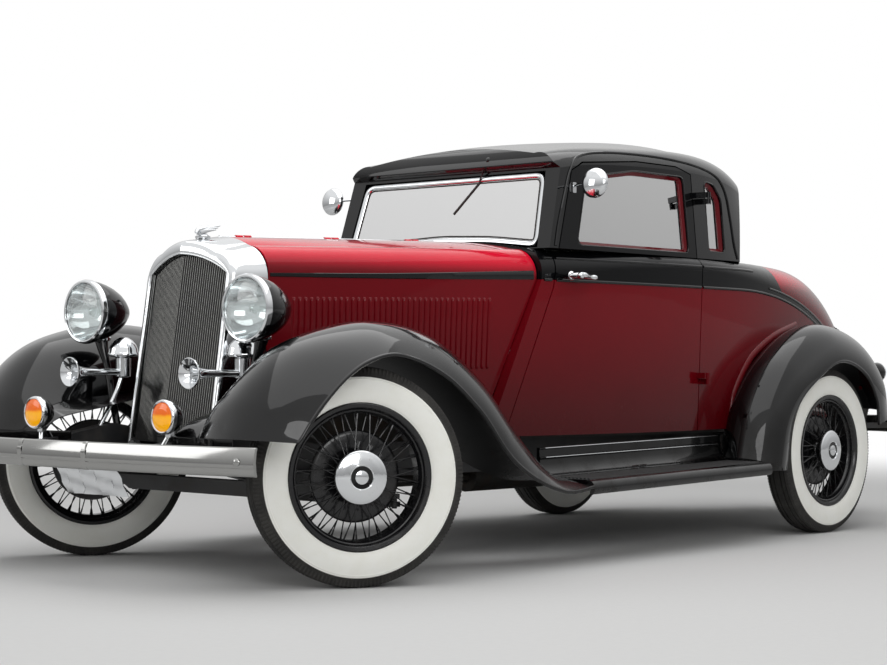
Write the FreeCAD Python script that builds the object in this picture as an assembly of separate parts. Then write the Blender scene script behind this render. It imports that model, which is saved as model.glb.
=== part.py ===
"""Two-door coupe of the early thirties, built in millimetres with +Z up.

The nose points to -Y, the car's left side is +X and the ground is Z = 0.  Shapes are drawn
with Y = 0 halfway between the axles and are moved by ROW_SHIFT when they are written, so that
the origin lies on the ground below the middle of the whole car.
"""
import FreeCAD
import Part
import math
import os

V = FreeCAD.Vector
UP = V(0, 0, 1)

# Driving dimensions: wheels and stance
WHEELBASE = 2845.0
TRACK = 1435.0
TYRE_RADIUS = 354.6
TYRE_HALF_WIDTH = 66.0
RIM_RADIUS = 222.0
STEER_DEG = 28.9            # front wheels stand turned to the car's right
KINGPIN_OFFSET = 55.0       # kingpin axis inboard of the wheel's middle plane
STEER_ARM = 150.0
FRONT_END = -2125.0         # bumper's foremost line
REAR_END = 2620.0           # rear bumper's last line
RUNNING = 0.1               # radial clearance of a pin in its bore
SEAT = 0.3                  # gap of a piece that lies against its carrier
GAP = 5.5                   # panel gap round everything that opens

FRONT_Y = -WHEELBASE / 2
REAR_Y = WHEELBASE / 2
HALF_TRACK = TRACK / 2
KINGPIN_X = HALF_TRACK - KINGPIN_OFFSET
ROW_SHIFT = -(FRONT_END + REAR_END) / 2

# Body levels
SILL_Z = 452.0              # bottom edge of the doors
BELT_LOW = 1010.0
BELT_HIGH = 1092.0
LEDGE_Z = 1156.0            # bottom of the side windows' frames
WALL = 45.0                 # doors and cab walls
SKIN = 4.0                  # hood and fender sheet

# Hood
HOOD_FRONT_Y = -1402.0
HOOD_REAR_Y = -292.0
HOOD_SLANT = 0.41           # rear edge runs forward by this much per millimetre of drop
HOOD_HINGE_Z = (1157.0, 1196.0)
HOOD_BELT_Z = 1035.0
HOOD_BOTTOM_Z = (640.0, 610.0, 500.0)
SHELL_FOOT_Z = 420.0
SHELL_TOP_Z = 1158.0

# Spare wheel behind the tail
SPARE_CENTRE = (0.0, 2490.0, 605.0)
SPARE_LEAN = 8.0

# Windshield plane
SHIELD_FOOT = (-262.0, 1150.0)
SHIELD_RAKE = 0.28          # backward run per millimetre of height


def mirrored(shape):
    """The same piece on the car's right side."""
    return shape.mirror(V(0, 0, 0), V(1, 0, 0))


def both(shape):
    """A left piece with its right twin."""
    return [shape, mirrored(shape)]


def box(x, y, z):
    """Block between three (low, high) pairs."""
    return Part.makeBox(x[1] - x[0], y[1] - y[0], z[1] - z[0], V(x[0], y[0], z[0]))


def rod(start, end, radius):
    """Round bar from start to end."""
    begin = V(*start)
    run = V(*end) - begin
    return Part.makeCylinder(radius, run.Length, begin, run)


def prism(points, push):
    """Flat polygon pushed along a vector."""
    corners = [V(*p) for p in points]
    face = Part.Face(Part.makePolygon(corners + corners[:1]))
    return face.extrude(V(*push))


def side_prism(outline, x_low, x_high):
    """Outline of (y, z) points pushed along X."""
    return prism([(x_low, y, z) for y, z in outline], (x_high - x_low, 0, 0))


def plan_prism(outline, z_low, z_high):
    """Outline of (x, y) points pushed along Z."""
    return prism([(x, y, z_low) for x, y in outline], (0, 0, z_high - z_low))


def rounded_prism(outline, radius, x_low, x_high):
    """Side outline pushed along X with its long edges rounded."""
    solid = side_prism(outline, x_low, x_high)
    edges = [e for e in solid.Edges if abs(e.tangentAt(e.FirstParameter).x) > 0.99]
    return solid.makeFillet(radius, edges)


def spin(profile, point, direction):
    """Solid of revolution of (along, radius) points about the axis through point."""
    corners = [V(radius, 0, along) for along, radius in profile]
    face = Part.Face(Part.makePolygon(corners + corners[:1]))
    solid = face.revolve(V(0, 0, 0), UP, 360)
    solid.Placement = FreeCAD.Placement(V(*point), FreeCAD.Rotation(UP, V(*direction)))
    return solid


def arc(start, middle, end):
    return Part.Arc(V(*start), V(*middle), V(*end)).toShape()


def line(start, end):
    return Part.makeLine(V(*start), V(*end))


def fused(shapes):
    """One solid of pieces that meet."""
    solid = shapes[0].multiFuse(shapes[1:]) if len(shapes) > 1 else shapes[0]
    return solid.removeSplitter()


def save(node, solids):
    """Write one node, moved into the row's frame."""
    shape = Part.Compound(solids) if len(solids) > 1 else solids[0]
    shape = shape.copy()
    shape.translate(V(0, ROW_SHIFT, 0))
    shape.exportStep(os.path.join("parts", node + ".step"))


def turned(shape, point, axis, degrees):
    copy = shape.copy()
    copy.rotate(V(*point), V(*axis), degrees)
    return copy


def tyre():
    """Balloon tyre about the X axis, wheel plane at X = 0."""
    bead = RIM_RADIUS + SEAT
    half = TYRE_HALF_WIDTH
    widest = (bead + TYRE_RADIUS) / 2 + 4.0
    tread_half = half - 22.0
    profile = [(-half + 20, bead), (-half, widest), (-tread_half, TYRE_RADIUS),
               (tread_half, TYRE_RADIUS), (half, widest), (half - 20, bead)]
    return spin(profile, (0, 0, 0), (1, 0, 0))


SPINDLE_R = 17.0
HUB_R = 38.0
DRUM_R = 150.0
SPOKES = 20                 # per row; two rows


def wire_wheel():
    """Rim, two rows of spokes, hub shell, hubcap and brake drum, outer face to +X."""
    rim = spin([(-50, RIM_RADIUS - 6), (50, RIM_RADIUS - 6), (54, RIM_RADIUS + 13),
                (46, RIM_RADIUS), (-46, RIM_RADIUS), (-54, RIM_RADIUS + 13)],
               (0, 0, 0), (1, 0, 0))
    bore = SPINDLE_R + RUNNING
    hub = spin([(-12, bore), (-12, HUB_R), (52, HUB_R), (52, 82), (62, 80), (72, 60), (76, 0),
                (46, 0), (46, bore)], (0, 0, 0), (1, 0, 0))
    drum = spin([(-12, HUB_R - 4), (-4, HUB_R - 4), (-4, DRUM_R), (-19, DRUM_R),
                 (-19, DRUM_R - 8), (-12, DRUM_R - 8)], (0, 0, 0), (1, 0, 0))
    spokes = []
    for row, (hub_x, rim_x) in enumerate([(4.0, -22.0), (46.0, 20.0)]):
        for index in range(SPOKES):
            angle = 2 * math.pi * (index + 0.5 * row) / SPOKES
            lead = angle + (0.5 if index % 2 else -0.5)
            foot = V(hub_x, (HUB_R - 3) * math.cos(lead), (HUB_R - 3) * math.sin(lead))
            tip = V(rim_x, (RIM_RADIUS - 4) * math.cos(angle), (RIM_RADIUS - 4) * math.sin(angle))
            run = tip - foot
            spoke = Part.makeBox(5, 5, run.Length, V(-2.5, -2.5, 0))
            spoke.Placement = FreeCAD.Placement(foot, FreeCAD.Rotation(UP, run))
            spokes.append(spoke)
    return fused([hub, drum, rim] + spokes)


def place_wheel(shape, side, axle_y):
    """Left (side = 1) or right (side = -1) wheel on its axle, straight ahead."""
    copy = shape.copy()
    if side < 0:
        copy.rotate(V(0, 0, 0), UP, 180)
    copy.translate(V(side * HALF_TRACK, axle_y, TYRE_RADIUS))
    return copy


def steered(shape, side):
    """A front piece turned about its own kingpin."""
    return turned(shape, (side * KINGPIN_X, FRONT_Y, 0), (0, 0, 1), -STEER_DEG)


def build_wheels():
    rubber = tyre()
    metal = wire_wheel()
    for node, side, axle_y in (("fl", 1, FRONT_Y), ("fr", -1, FRONT_Y),
                               ("rl", 1, REAR_Y), ("rr", -1, REAR_Y)):
        for name, shape in (("tyre_", rubber), ("wheel_", metal)):
            piece = place_wheel(shape, side, axle_y)
            if axle_y < 0:
                piece = steered(piece, side)
            save(name + node, [piece])
    for name, shape in (("spare_tyre", rubber), ("spare_wheel", metal)):
        piece = turned(shape, (0, 0, 0), (0, 0, 1), 90)
        piece = turned(piece, (0, 0, 0), (1, 0, 0), SPARE_LEAN)
        piece.translate(V(*SPARE_CENTRE))
        save(name, [piece])


EAR_R = 24.0
BOSS_R = 20.0
BOSS_HALF = 40.0
PIN_R = 11.0
ARM_Z = TYRE_RADIUS - 70.0
BALL_R = 9.0


def knuckle(side):
    """Forked stub axle with kingpin, backing plate and steering arm, straight ahead."""
    x = KINGPIN_X
    z = TYRE_RADIUS
    y = FRONT_Y
    plane = HALF_TRACK
    pieces = [rod((x, y, z - 66), (x, y, z + 66), PIN_R)]
    for low in (BOSS_HALF + 4, -BOSS_HALF - 24):
        pieces.append(Part.makeCylinder(EAR_R, 20, V(x, y, z + low)))
        pieces.append(box((x, plane - 24), (y - 22, y + 22), (z + low, z + low + 20)))
    pieces.append(box((plane - 31, plane - 24), (y - 22, y + 22), (z - 64, z + 64)))
    pieces.append(rod((plane - 30, y, z), (plane + 42, y, z), SPINDLE_R))
    pieces.append(rod((plane - 30, y, z), (plane - 26, y, z), DRUM_R - 6))
    pieces.append(box((x - 14, x + 14), (y + 10, y + STEER_ARM + 14), (ARM_Z - 8, ARM_Z + 8)))
    solid = fused(pieces)
    boss_room = Part.makeCylinder(BOSS_R + 6, 2 * BOSS_HALF + 8, V(x, y, z - BOSS_HALF - 4))
    pin = rod((x, y, z - 66), (x, y, z + 66), PIN_R)
    solid = fused([solid.cut(boss_room), pin])
    ball = rod((x, y + STEER_ARM, ARM_Z - 8), (x, y + STEER_ARM, ARM_Z - 40), BALL_R)
    solid = fused([solid, ball])
    if side < 0:
        solid = mirrored(solid)
    return steered(solid, side)


def front_axle():
    """Dropped beam with a boss at each kingpin."""
    z = TYRE_RADIUS
    bore = PIN_R + RUNNING
    half = [(0, z - 92), (430, z - 92), (560, z - 30), (KINGPIN_X, z - 30),
            (KINGPIN_X, z + 18), (545, z + 18), (420, z - 40), (0, z - 40)]
    beam = prism([(x, FRONT_Y - 24, h) for x, h in half], (0, 48, 0))
    boss = Part.makeCylinder(BOSS_R, 2 * BOSS_HALF, V(KINGPIN_X, FRONT_Y, z - BOSS_HALF))
    half_axle = fused([beam, boss])
    hole = Part.makeCylinder(bore, 2 * BOSS_HALF + 20, V(KINGPIN_X, FRONT_Y, z - BOSS_HALF - 10))
    half_axle = half_axle.cut(hole)
    return fused([half_axle, mirrored(half_axle)])


def tie_rod():
    """Bar between the two steering arms, its left eye round the left ball."""
    z = ARM_Z - 26.0
    turn = math.radians(STEER_DEG)
    shift = (STEER_ARM * math.sin(turn), STEER_ARM * math.cos(turn))
    left = (KINGPIN_X + shift[0], FRONT_Y + shift[1])
    right = (-KINGPIN_X + shift[0], FRONT_Y + shift[1])
    eye_l = Part.makeCylinder(20, 16, V(left[0], left[1], z - 8))
    eye_r = Part.makeCylinder(22, 16, V(right[0], right[1], z - 8))
    bar = rod((left[0] - 12, left[1], z), (right[0] + 14, right[1], z), 11)
    solid = fused([bar, eye_l, eye_r])
    solid = solid.cut(Part.makeCylinder(BALL_R + RUNNING, 60, V(left[0], left[1], z - 30)))
    return solid.cut(Part.makeCylinder(BALL_R + 2.5, 60, V(right[0], right[1], z - 30)))


def rear_axle():
    """Tubular axle with its differential housing, backing plates and spindles."""
    z = TYRE_RADIUS
    pieces = [rod((-HALF_TRACK + 30, REAR_Y, z), (HALF_TRACK - 30, REAR_Y, z), 38),
              spin([(-150, 0), (-150, 60), (-60, 135), (60, 135), (150, 60), (150, 0)],
                   (0, REAR_Y, z), (1, 0, 0)),
              rod((0, REAR_Y - 190, z), (0, REAR_Y, z), 55)]
    for side in (1, -1):
        pieces.append(rod((side * (HALF_TRACK - 30), REAR_Y, z),
                          (side * (HALF_TRACK - 26), REAR_Y, z), DRUM_R - 6))
        pieces.append(rod((side * (HALF_TRACK - 30), REAR_Y, z),
                          (side * (HALF_TRACK + 42), REAR_Y, z), SPINDLE_R))
    return fused(pieces)


COLUMN_TOP = (270.0, 120.0, 1015.0)
COLUMN_FOOT = (270.0, -430.0, 640.0)
WHEEL_R = 200.0


def column_axis():
    axis = V(*COLUMN_TOP) - V(*COLUMN_FOOT)
    return axis.normalize()


def steering_wheel():
    """Rim, three spokes and hub on the column's axis."""
    axis = column_axis()
    centre = V(*COLUMN_TOP) + axis * 30
    rim = Part.makeTorus(WHEEL_R, 11, V(0, 0, 0), UP)
    hub = Part.makeCylinder(34, 46, V(0, 0, -36))
    spokes = [rod((0, 0, -6), (WHEEL_R * math.cos(a), WHEEL_R * math.sin(a), 0), 7)
              for a in (math.radians(d) for d in (90, 210, 330))]
    solid = fused([rim, hub] + spokes)
    solid = solid.cut(Part.makeCylinder(9 + RUNNING, 40, V(0, 0, -40)))
    solid.Placement = FreeCAD.Placement(centre, FreeCAD.Rotation(UP, axis))
    return solid


def steering_column():
    """Jacket tube with the shaft that carries the wheel."""
    axis = column_axis()
    foot = V(*COLUMN_FOOT)
    top = V(*COLUMN_TOP)
    jacket_end = top - axis * 14
    shaft_end = top + axis * 26
    return fused([Part.makeCylinder(22, (jacket_end - foot).Length, foot, axis),
                  Part.makeCylinder(9, (shaft_end - foot).Length, foot, axis)])


RAIL_WALL = 55.0


def chassis():
    """Two side rails that kick up over the rear axle, joined by cross members."""
    outline = [(-1990, 448), (-1850, 468), (-1640, 506), (-1250, 440), (1020, 440), (1210, 600),
               (1620, 600), (1880, 460), (2330, 460), (2330, 400), (1860, 400), (1590, 520),
               (1240, 520), (1060, 320), (-1200, 320), (-1640, 430), (-1880, 430), (-1990, 405)]
    plan = [(330, -1990), (330, -1500), (440, 0), (440, 1000), (470, 1300), (405, 1850),
            (405, 2330), (350, 2330), (350, 1850), (415, 1300), (385, 1000), (385, 0),
            (275, -1500), (275, -1990)]
    rail = side_prism(outline, 200, 560).common(plan_prism(plan, 200, 700))
    rails = both(rail)
    # x, y and z ranges of the cross members, nose to tail
    members = [((-300, 300), (-1960, -1900), (424, 450)),
               ((-330, 330), (-1560, -1490), (398, SHELL_FOOT_Z - SEAT)),
               ((-400, 400), (-420, -340), (320, 340)), ((-420, 420), (560, 640), (320, 340)),
               ((-450, 450), (1180, 1230), (535, 590)), ((-400, 400), (1790, 1850), (440, 490)),
               ((-400, 400), (2270, 2325), (402, 455))]
    carrier = [box((-40, 40), (2320, SPARE_CENTRE[1] - 62), (410, 440)),
               box((-40, 40), (SPARE_CENTRE[1] - 82, SPARE_CENTRE[1] - 62),
                   (410, SPARE_CENTRE[2] + 40))]
    lean = math.radians(SPARE_LEAN)
    axis = V(0, math.cos(lean), math.sin(lean))
    hub = V(*SPARE_CENTRE)
    carrier.append(Part.makeCylinder(60, 56 - SEAT, hub - axis * (12 + 56), axis))
    carrier.append(Part.makeCylinder(SPINDLE_R, 60, hub - axis * 30, axis))
    beams = [box(*m) for m in members[:-1]] + [fused([box(*members[-1])] + carrier)]
    for way in ((0, 0, 0), (SEAT, 0, 0), (-SEAT, 0, 0), (0, 0, SEAT), (0, 0, -SEAT)):
        room = Part.Compound(rails).copy()
        room.translate(V(*way))
        beams = [beam.cut(room) for beam in beams]
    return rails + [max(beam.Solids, key=lambda solid: solid.Volume) for beam in beams]


def chassis_shape():
    """All solids of the frame as one shape to cut other pieces with."""
    return Part.Compound(chassis())


def leaf_spring(x, y, z, reach, rise):
    """Bundle of leaves: arched main leaf with shorter ones below."""
    top = arc((x, y - reach, z + rise), (x, y, z), (x, y + reach, z + rise))
    low = arc((x, y + reach, z + rise - 9), (x, y, z - 34), (x, y - reach, z + rise - 9))
    ends = [line((x, y + reach, z + rise), (x, y + reach, z + rise - 9)),
            line((x, y - reach, z + rise - 9), (x, y - reach, z + rise))]
    face = Part.Face(Part.Wire([top, ends[0], low, ends[1]]))
    return face.extrude(V(50, 0, 0))


def springs():
    front = leaf_spring(352, FRONT_Y, TYRE_RADIUS - 6, 440, 74)
    rear = leaf_spring(480, REAR_Y, TYRE_RADIUS + 72, 395, 40)
    hangers = [box((438, 530), (1020, 1040), (425, 462)), box((404, 530), (1808, 1826), (430, 462))]
    return front, fused([rear] + hangers)


def crowned(row, grow=0.0, drop=0.0):
    """Closed outline in an XZ plane: floor, leaning sides, shoulder arcs and crown arc.

    row: y, half width at the bottom, half width at the shoulder, bottom, shoulder, inset of
    the crown's corner, its height, height at the centre line.  grow moves the sides outwards
    and the crown up; drop lowers the floor.
    """
    y, half_low, half, bottom, shoulder, inset, corner_z, top = row
    half_low = half_low + grow
    half = half + grow
    bottom = bottom - drop
    corner_z = corner_z + grow
    top = top + grow
    corner_x = half - inset
    mid_x = half - inset * 0.29
    mid_z = shoulder + (corner_z - shoulder) * 0.72
    return Part.Wire([
        line((-half_low, y, bottom), (half_low, y, bottom)),
        line((half_low, y, bottom), (half, y, shoulder)),
        arc((half, y, shoulder), (mid_x, y, mid_z), (corner_x, y, corner_z)),
        arc((corner_x, y, corner_z), (0, y, top), (-corner_x, y, corner_z)),
        arc((-corner_x, y, corner_z), (-mid_x, y, mid_z), (-half, y, shoulder)),
        line((-half, y, shoulder), (-half_low, y, bottom))])


def hull(rows, grow=0.0, drop=0.0):
    return Part.makeLoft([crowned(row, grow, drop) for row in rows], True, False)


# y, half width low, half width, bottom, shoulder, inset, corner height, top
BODY_ROWS = [
    (-480, 497, 515, 450, 1040, 115, 1150, 1188),
    (-230, 534, 554, 450, 1062, 95, 1158, 1196),
    (300, 588, 612, 452, 1095, 50, 1156, 1182),
    (850, 606, 628, 455, 1095, 50, 1156, 1182),
    (1400, 560, 580, 462, 1020, 110, 1152, 1200),
    (1850, 470, 488, 475, 900, 160, 1110, 1160),
    (2150, 388, 404, 490, 780, 170, 975, 1030),
    (2380, 310, 322, 520, 640, 150, 800, 850)]

ROOF_ROWS = [
    (-320, 560, 530, 1120, 1428, 110, 1488, 1522),
    (-100, 574, 546, 1120, 1476, 115, 1544, 1578),
    (350, 596, 560, 1120, 1506, 125, 1586, 1638),
    (800, 604, 564, 1120, 1500, 135, 1596, 1670),
    (1040, 592, 540, 1120, 1462, 160, 1564, 1646),
    (1240, 560, 480, 1120, 1380, 180, 1480, 1562)]

HOOD_ROWS = [
    (HOOD_FRONT_Y, 238, 246, HOOD_BOTTOM_Z[0], 1020, 95, 1122, HOOD_HINGE_Z[0]),
    (-850, 375, 388, HOOD_BOTTOM_Z[1], 1028, 105, 1138, 1177),
    (-200, 512, 545, HOOD_BOTTOM_Z[2], 1052, 112, 1156, 1199)]


def shield_y(z):
    return SHIELD_FOOT[0] + (z - SHIELD_FOOT[1]) * SHIELD_RAKE


def shield_slab(margin, y_low, y_high):
    """Slab along the windshield's plane, smaller than its opening by margin all round."""
    low = LEDGE_Z + 4 + margin
    high = 1456 - margin
    half_low = 500 - margin
    half_high = 473 - margin
    corners = [(-half_low, low), (half_low, low), (half_high, high), (-half_high, high)]
    return prism([(x, shield_y(z) + y_low, z) for x, z in corners], (0, y_high - y_low, 0))


def roof_side_outline(inset=0.0):
    """Side view of the cab's upper part: windshield plane, visor, crown and back."""
    i = inset
    foot = LEDGE_Z - 95
    front = [line((0, shield_y(foot) + i, foot), (0, shield_y(1466) + i, 1466)),
             line((0, shield_y(1466) + i, 1466), (0, -200 + i * 1.5, 1484)),
             arc((0, -200 + i * 1.5, 1484), (0, -192 + i * 1.4, 1528), (0, -150 + i, 1566)),
             line((0, -150 + i, 1566), (0, -60, 1760)),
             line((0, -60, 1760), (0, 840, 1760)),
             line((0, 840, 1760), (0, 960 - i, 1672)),
             arc((0, 960 - i, 1672), (0, 1108 - i, 1582), (0, 1170 - i, 1440)),
             line((0, 1170 - i, 1440), (0, 1232 - i, foot)),
             line((0, 1232 - i, foot), (0, shield_y(foot) + i, foot))]
    face = Part.Face(Part.Wire(front))
    solid = face.extrude(V(1400, 0, 0))
    solid.translate(V(-700, 0, 0))
    return solid


def roof_plan_outline(inset=0.0):
    """Plan of the cab's upper part, rounded at its rear corners."""
    i = inset
    x = 640 - i
    y = 850 - i * 0.3
    corner = (520 - i * 0.8, 1085 - i * 0.6)
    back = (330 - i * 0.6, 1194 - i)
    edges = [line((-x, -420, 1000), (x, -420, 1000)),
             line((x, -420, 1000), (x, y, 1000)),
             arc((x, y, 1000), (*corner, 1000), (*back, 1000)),
             arc((*back, 1000), (0, 1226 - i, 1000), (-back[0], back[1], 1000)),
             arc((-back[0], back[1], 1000), (-corner[0], corner[1], 1000), (-x, y, 1000)),
             line((-x, y, 1000), (-x, -420, 1000))]
    return Part.Face(Part.Wire(edges)).extrude(V(0, 0, 800))


DOOR_REAR_Y = 655.0
DOOR_WINDOW = [(-102, 1172), (-28, 1440), (270, 1484), (600, 1484), (612, 1172)]
QUARTER_WINDOW = [(752, 1186), (752, 1478), (820, 1470), (879, 1410), (879, 1186)]


def door_region(grow=0.0):
    """Room of the door's panel in side view, grown by the gap all round."""
    g = grow
    outline = [(-448 - g * 1.1, SILL_Z - g), (-222 - g * 1.1, BELT_LOW - g * 0.1),
               (-206 - g * 1.05, LEDGE_Z), (-108 - g, 1458 + g * 0.4), (-40 - g * 0.3, 1492 + g),
               (300, 1522 + g), (560 + g * 0.1, 1522 + g), (DOOR_REAR_Y + g, 1498 + g * 0.6),
               (DOOR_REAR_Y + g, SILL_Z - g)]
    return side_prism(outline, 430, 760)


def deck_region(grow=0.0):
    g = grow
    outline = [(-330 - g, 1535 - g), (330 + g, 1535 - g), (270 + g, 2240 + g), (-270 - g, 2240 + g)]
    return plan_prism(outline, 850, 1400)


def build_body():
    """Cab and tail as shells, split at doors, windows and deck lid."""
    outer = hull(BODY_ROWS)
    inner = hull(BODY_ROWS, -WALL, 60.0)
    floorless = hull(BODY_ROWS, -30.0, 60.0)
    tail_skin = outer.cut(floorless)
    lower = outer.cut(inner)
    rear_plate = outer.common(box((-700, 700), (2340, 2400), (400, 1300)))
    lower = fused([lower, rear_plate])
    upper_outer = hull(ROOF_ROWS).common(roof_side_outline()).common(roof_plan_outline())
    upper_inner = (hull(ROOF_ROWS, -WALL, 60.0).common(roof_side_outline(WALL))
                   .common(roof_plan_outline(WALL)))
    cab_room = upper_inner
    lower = lower.cut(upper_outer.common(box((-700, 700), (-300, 1600), (LEDGE_Z, 1800))))
    lower = lower.cut(cab_room.common(box((-700, 700), (-240, 1500), (1000, 1300))))
    upper = upper_outer.cut(upper_inner).common(
        box((-700, 700), (-400, 1600), (LEDGE_Z, 1800)))

    front_cut = side_prism([(-800, 1300), (HOOD_REAR_Y + 5, 1300), (HOOD_REAR_Y + 5, HOOD_BELT_Z),
                            (HOOD_REAR_Y + 5 - HOOD_SLANT * (HOOD_BELT_Z - 400), 400),
                            (-800, 400)], -700, 700)
    lower = lower.cut(front_cut)
    for region in both(door_region(GAP)):
        lower = lower.cut(region)
        upper = upper.cut(region)
    lower = lower.cut(deck_region(GAP))

    upper = upper.cut(shield_slab(-SEAT, -60, 80))
    quarter = rounded_prism(QUARTER_WINDOW, 22, 430, 760)
    rear_light = prism([(-240, 1000, 1260), (240, 1000, 1260), (222, 1000, 1420),
                        (-222, 1000, 1420)], (0, 400, 0))
    for hole in both(quarter) + [rear_light]:
        upper = upper.cut(hole)

    door = outer.cut(inner)
    door = door.cut(box((-700, 700), (-600, 1200), (LEDGE_Z, 1800))).cut(cab_room)
    door_top = upper_outer.cut(upper_inner).common(
        box((-700, 700), (-400, 1600), (LEDGE_Z, 1800)))
    door = fused([door.common(door_region()), door_top.common(door_region())])
    door = door.cut(rounded_prism(DOOR_WINDOW, 30, 430, 760))
    lid = tail_skin.common(deck_region())
    return lower, upper, door, lid, outer, inner


def hinge(point, direction, inward, forward, depth):
    """Pin hinge: (fixed leaf with pin, moving leaf with bored knuckle).

    Both leaves reach inward by depth, the moving one on the side that forward points to.
    """
    d = V(*direction).normalize()
    n = V(*inward).normalize()
    f = V(*forward).normalize()
    p = V(*point)
    height = 24.0

    def leaf(foot, way):
        corners = [foot + way * 5, foot + way * 20, foot + way * 20 + n * depth,
                   foot + way * 5 + n * depth]
        face = Part.Face(Part.makePolygon(corners + corners[:1]))
        arm = face.extrude(d * (height - 1))
        barrel = Part.makeCylinder(9, height - 1, foot, d)
        return fused([arm, barrel])

    pin = Part.makeCylinder(4, 2 * height - 2, p - d * height, d)
    fixed = fused([leaf(p - d * height, f * -1), pin])
    moving = leaf(p + d * SEAT, f)
    bore = Part.makeCylinder(4 + RUNNING, height + 4, p - d, d)
    return fixed, moving.cut(bore)


DOOR_HINGE = (652.0, 662.0)
DOOR_HINGES = [(665.0, 50.0), (1400.0, 92.0)]     # height, depth of the leaves
DECK_HINGE = (1528.0, 1213.0)
HANDLE_Y = -184.0
HANDLE_Z = 1052.0


def build_cab():
    lower, upper, door, lid, outer, inner = build_body()
    leaves = []
    for z, depth in DOOR_HINGES:
        fixed, moving = hinge((DOOR_HINGE[0], DOOR_HINGE[1], z), (0, 0, 1), (-1, 0, 0),
                              (0, -1, 0), depth)
        leaves.append(fixed.cut(lower).cut(upper))
        inside = box((430, DOOR_HINGE[0] - depth + 8), (DOOR_REAR_Y, 900), (0, 2000))
        door = fused([door, moving.cut(inside)])
    handle = fused([rod((535, HANDLE_Y, HANDLE_Z), (602, HANDLE_Y, HANDLE_Z), 9),
                    rod((598, HANDLE_Y - 12, HANDLE_Z), (606, HANDLE_Y + 106, HANDLE_Z - 3), 8)])
    door = fused([door, handle.cut(inner)])
    save("door_left", [door])
    save("door_right", [mirrored(door)])
    for x in (-200, 200):
        fixed, moving = hinge((x, DECK_HINGE[0], DECK_HINGE[1]), (1, 0, 0), (0, 0, -1),
                              (0, 1, 0), 34.0)
        leaves.append(fixed.cut(lower).cut(upper))
        lid = fused([lid, moving])
    save("deck_lid", [lid])
    save("body", [lower])
    save("roof", [upper])
    count = len(DOOR_HINGES)
    right = [mirrored(leaf) for leaf in leaves[:count]]
    save("hinges", leaves[:count] + right + leaves[count:])

    glass = door_region().common(rounded_prism(DOOR_WINDOW, 30, 430, 760))
    pane = hull(ROOF_ROWS, -18.0, 60.0).cut(hull(ROOF_ROWS, -23.0, 60.0)).common(glass)
    save("door_glass_left", [pane])
    save("door_glass_right", [mirrored(pane)])
    quarter = rounded_prism(QUARTER_WINDOW, 22, 430, 760)
    fixed_pane = hull(ROOF_ROWS, -18.0, 60.0).cut(hull(ROOF_ROWS, -23.0, 60.0)).common(quarter)
    rear_light = prism([(-240, 1000, 1260), (240, 1000, 1260), (222, 1000, 1420),
                        (-222, 1000, 1420)], (0, 400, 0))
    back = (roof_side_outline(16).cut(roof_side_outline(21))).common(rear_light)
    back = back.common(box((-300, 300), (1050, 1400), (1200, 1500)))
    save("window_glass", both(fixed_pane) + [back])
    return outer


def windshield():
    """Bright frame and pane in the windshield's plane."""
    rim = 24.0
    frame = shield_slab(0, 2, 26).cut(shield_slab(rim, -10, 40))
    return frame, shield_slab(rim + SEAT, 10, 16)


def crescent(row):
    """Fender section: thin sheet whose arc runs lip, crown, inner edge.

    row: crown y, crown z, lean of the section's normal towards the nose in degrees, lip x,
    lip depth, crown x, inner x, inner depth.
    """
    y, z, lean, lip_x, lip_d, crown_x, in_x, in_d = row
    a = math.radians(lean)
    normal = V(0, -math.sin(a), math.cos(a))
    crown = V(0, y, z)

    def at(x, depth):
        return crown - normal * depth + V(x, 0, 0)

    lip, top, end = at(lip_x, lip_d), at(crown_x, 0), at(in_x, in_d)
    lip_b, top_b, end_b = at(lip_x - SKIN, lip_d), at(crown_x, SKIN), at(in_x + SKIN, in_d)
    return Part.Wire([Part.Arc(lip, top, end).toShape(), Part.makeLine(end, end_b),
                      Part.Arc(end_b, top_b, lip_b).toShape(), Part.makeLine(lip_b, lip)])


# crown y, crown z, lean, lip x, lip depth, crown x, inner x, inner depth
FRONT_FENDER = [
    (-1952, 485, 85, 850, 112, 585, 455, 52),
    (-1885, 610, 53, 862, 114, 592, 434, 88),
    (-1740, 756, 36, 866, 120, 628, 426, 200),
    (-1580, 824, 20, 866, 104, 655, 424, 235),
    (-1400, 850, 0, 866, 104, 720, 425, 240),
    (-1130, 820, -17, 866, 150, 720, 430, 220),
    (-900, 690, -42, 866, 165, 720, 455, 170),
    (-700, 495, -45, 866, 160, 725, 490, 110),
    (-520, 345, -33, 866, 80, 735, 545, 40),
    (-380, 300, 0, 866, 18, 745, 606, 4)]

# Inner and upper edge of the splash sheet at each of the first eight fender rows: x, z
LEDGE_EDGE = [(340, 484), (336, 530), (262, 575), (238, 606), (238, 626), (275, 622), (322, 606),
              (384, 560)]

REAR_FENDER = [
    (800, 340, 75, 822, 200, 712, 580, 60),
    (885, 575, 62, 828, 170, 712, 575, 60),
    (1060, 755, 42, 832, 165, 712, 560, 60),
    (1400, 888, 3, 834, 150, 710, 530, 60),
    (1700, 855, -18, 830, 180, 700, 480, 70),
    (1930, 710, -48, 820, 220, 685, 420, 80),
    (2040, 520, -75, 800, 230, 660, 390, 90)]


def fender(rows):
    return Part.makeLoft([crescent(row) for row in rows], True, False)


def splash_sheet():
    """Sheet from the front fender's inner edge to the hood's bottom edge."""
    wires = []
    for row, (x, z) in zip(FRONT_FENDER, LEDGE_EDGE):
        a = math.radians(row[2])
        y = row[0] + row[7] * math.sin(a)
        edge_z = row[1] - row[7] * math.cos(a)
        points = [V(row[6] + 2, y, edge_z + 1), V(x, y, z), V(x, y, z - 3),
                  V(row[6] + 2, y, edge_z - 3)]
        wires.append(Part.makePolygon(points + points[:1]))
    return Part.makeLoft(wires, True, True)


BOARD_Y = (-379.5, 812.0)
BOARD_RISE = 24.0


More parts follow.
